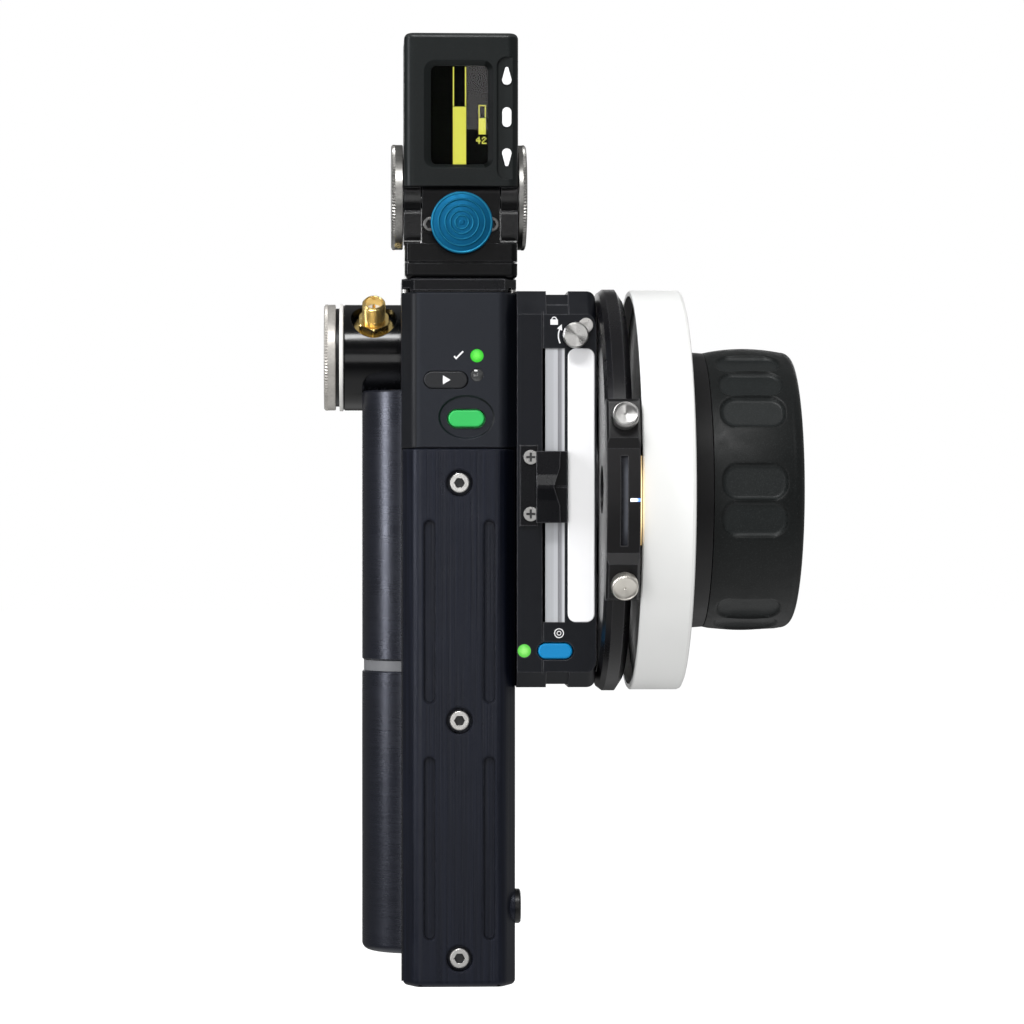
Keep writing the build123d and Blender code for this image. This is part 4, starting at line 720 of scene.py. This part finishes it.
# padlock and curved arrow by the lock lever, on the sloping end of the module
bm = bmesh.new()
arc_band(bm, 30.5, 172.2, 4.2, 4.55, 158, 207, INK0, INK1, 24)
a = math.radians(158)
ux, uz = math.cos(a), math.sin(a)
bx, bz = 30.5 + 4.375 * ux, 172.2 + 4.375 * uz
plate(bm, [(bx - 0.75 * ux, bz - 0.75 * uz), (bx + 0.75 * ux, bz + 0.75 * uz), (bx + 1.5 * uz, bz - 1.5 * ux)], INK0, INK1)
finish_mesh("lock_arrow", bm, M["white_print"], "handle")
bm = bmesh.new()
plate(bm, [(24.0, 175.1), (26.0, 175.1), (26.0, 176.5), (24.0, 176.5)], INK0, INK1)
arc_band(bm, 25.0, 176.5, 0.5, 0.74, 0, 180, INK0, INK1, 16)
finish_mesh("lock_mark", bm, M["white_print"], "handle")

# ---------------------------------------------------------------- stage: floor, light, camera
scene = bpy.context.scene
bm = bmesh.new()
bmesh.ops.create_circle(bm, cap_ends=True, radius=6.0, segments=96)
me = bpy.data.meshes.new("floor")
bm.to_mesh(me)
bm.free()
floor = bpy.data.objects.new("floor", me)
scene.collection.objects.link(floor)
fm = Mat("floor_pale")
fm.set(Base_Color=fm.mix(fm.remap(fm.noise(3, 3), 0.3, 0.7, 0, 1), (0.36, 0.36, 0.36), (0.34, 0.34, 0.345)), Roughness=0.9, Specular_IOR_Level=0.1, Emission_Color=(1, 1, 1, 1), Emission_Strength=0.86)
me.materials.append(fm.m)
# low enough for the battery to be pulled out above it
floor.location = (0, 0, -0.088)
floor.visible_glossy = False
floor.visible_diffuse = False

world = bpy.data.worlds.new("studio")
scene.world = world
world.use_nodes = True
wn = world.node_tree
bg = wn.nodes["Background"]
geo = wn.nodes.new("ShaderNodeTexCoord")
sep = wn.nodes.new("ShaderNodeSeparateXYZ")
wn.links.new(geo.outputs["Generated"], sep.inputs[0])


def ramp(value, lo, hi, a, b):
    n = wn.nodes.new("ShaderNodeMapRange")
    wn.links.new(value, n.inputs[0])
    for i, v in enumerate((lo, hi, a, b)):
        n.inputs[i + 1].default_value = v
    return n.outputs[0]


def both(op, a, b):
    n = wn.nodes.new("ShaderNodeMath")
    n.operation = op
    wn.links.new(a, n.inputs[0])
    wn.links.new(b, n.inputs[1])
    return n.outputs[0]


def choose(which, a, b):
    n = wn.nodes.new("ShaderNodeMix")
    wn.links.new(which, n.inputs[0])
    for sock, v in ((n.inputs[2], a), (n.inputs[3], b)):
        if isinstance(v, float):
            sock.default_value = v
        else:
            wn.links.new(v, sock)
    return n.outputs[0]


path = wn.nodes.new("ShaderNodeLightPath")
# reflections: dim room, a little lighter on the right, pale table below
shiny = both("ADD", ramp(sep.outputs[0], 0.1, 0.9, 0.12, 0.34), ramp(sep.outputs[2], -0.42, -0.8, 0.0, 0.75))
shiny = both("ADD", shiny, ramp(sep.outputs[2], 0.55, 0.9, 0.0, 0.2))
# soft fill from above and less from below
matt = ramp(sep.outputs[2], -1.0, 1.0, 0.78, 0.48)
fill = choose(path.outputs["Is Glossy Ray"], matt, shiny)
wn.links.new(choose(path.outputs["Is Camera Ray"], fill, 1.0), bg.inputs["Strength"])
bg.inputs["Color"].default_value = (1, 1, 1, 1)


def softbox(name, at, to, w, hgt, power, colour=(1, 1, 1)):
    li = bpy.data.lights.new(name, "AREA")
    li.shape = "RECTANGLE"
    li.size, li.size_y, li.energy, li.color = w, hgt, power, colour
    o = bpy.data.objects.new(name, li)
    scene.collection.objects.link(o)
    o.location = at
    o.rotation_mode = "QUATERNION"
    o.rotation_quaternion = (Vector(to) - Vector(at)).to_track_quat("-Z", "Y")
    o.visible_camera = False
    return o


softbox("key", (-0.17, -0.9, 1.07), (0.02, 0, 0.14), 0.55, 0.24, 11.0)
softbox("front", (-0.3, -1.38, 0.08), (-0.12, 0, 0.1), 0.76, 0.4, 2.1)
softbox("side", (-0.62, -1.22, 0.16), (-0.02, 0, 0.14), 0.2, 0.6, 1.1)
softbox("left", (-0.93, -0.33, 0.42), (-0.02, 0, 0.14), 0.2, 0.75, 7.0, (0.94, 0.95, 1.0))
softbox("card", (0.172, -1.42, 0.487), (0.172, 0, 0.487), 0.257, 0.226, 0.62, (1.0, 0.97, 1.0))
softbox("back", (0.2, 1.35, 0.3), (0.0, 0, 0.13), 1.1, 0.6, 3.2)
softbox("rear", (0.1, 1.2, 0.9), (0.02, 0, 0.13), 0.9, 0.5, 1.6).visible_glossy = False

cam = bpy.data.cameras.new("camera")
cam.lens, cam.sensor_width, cam.sensor_fit = 124.57, 36.0, "HORIZONTAL"
cam.clip_start, cam.clip_end = 0.05, 30.0
co = bpy.data.objects.new("camera", cam)
scene.collection.objects.link(co)
co.location = (-0.02573, -0.946, 0.1288)
co.rotation_mode = "QUATERNION"
co.rotation_quaternion = Vector((150 / 3543, 1.0, -12 / 3543)).to_track_quat("-Z", "Y")
scene.camera = co
scene.view_settings.view_transform = "Standard"
scene.view_settings.look = "None"
scene.view_settings.exposure = 0.0
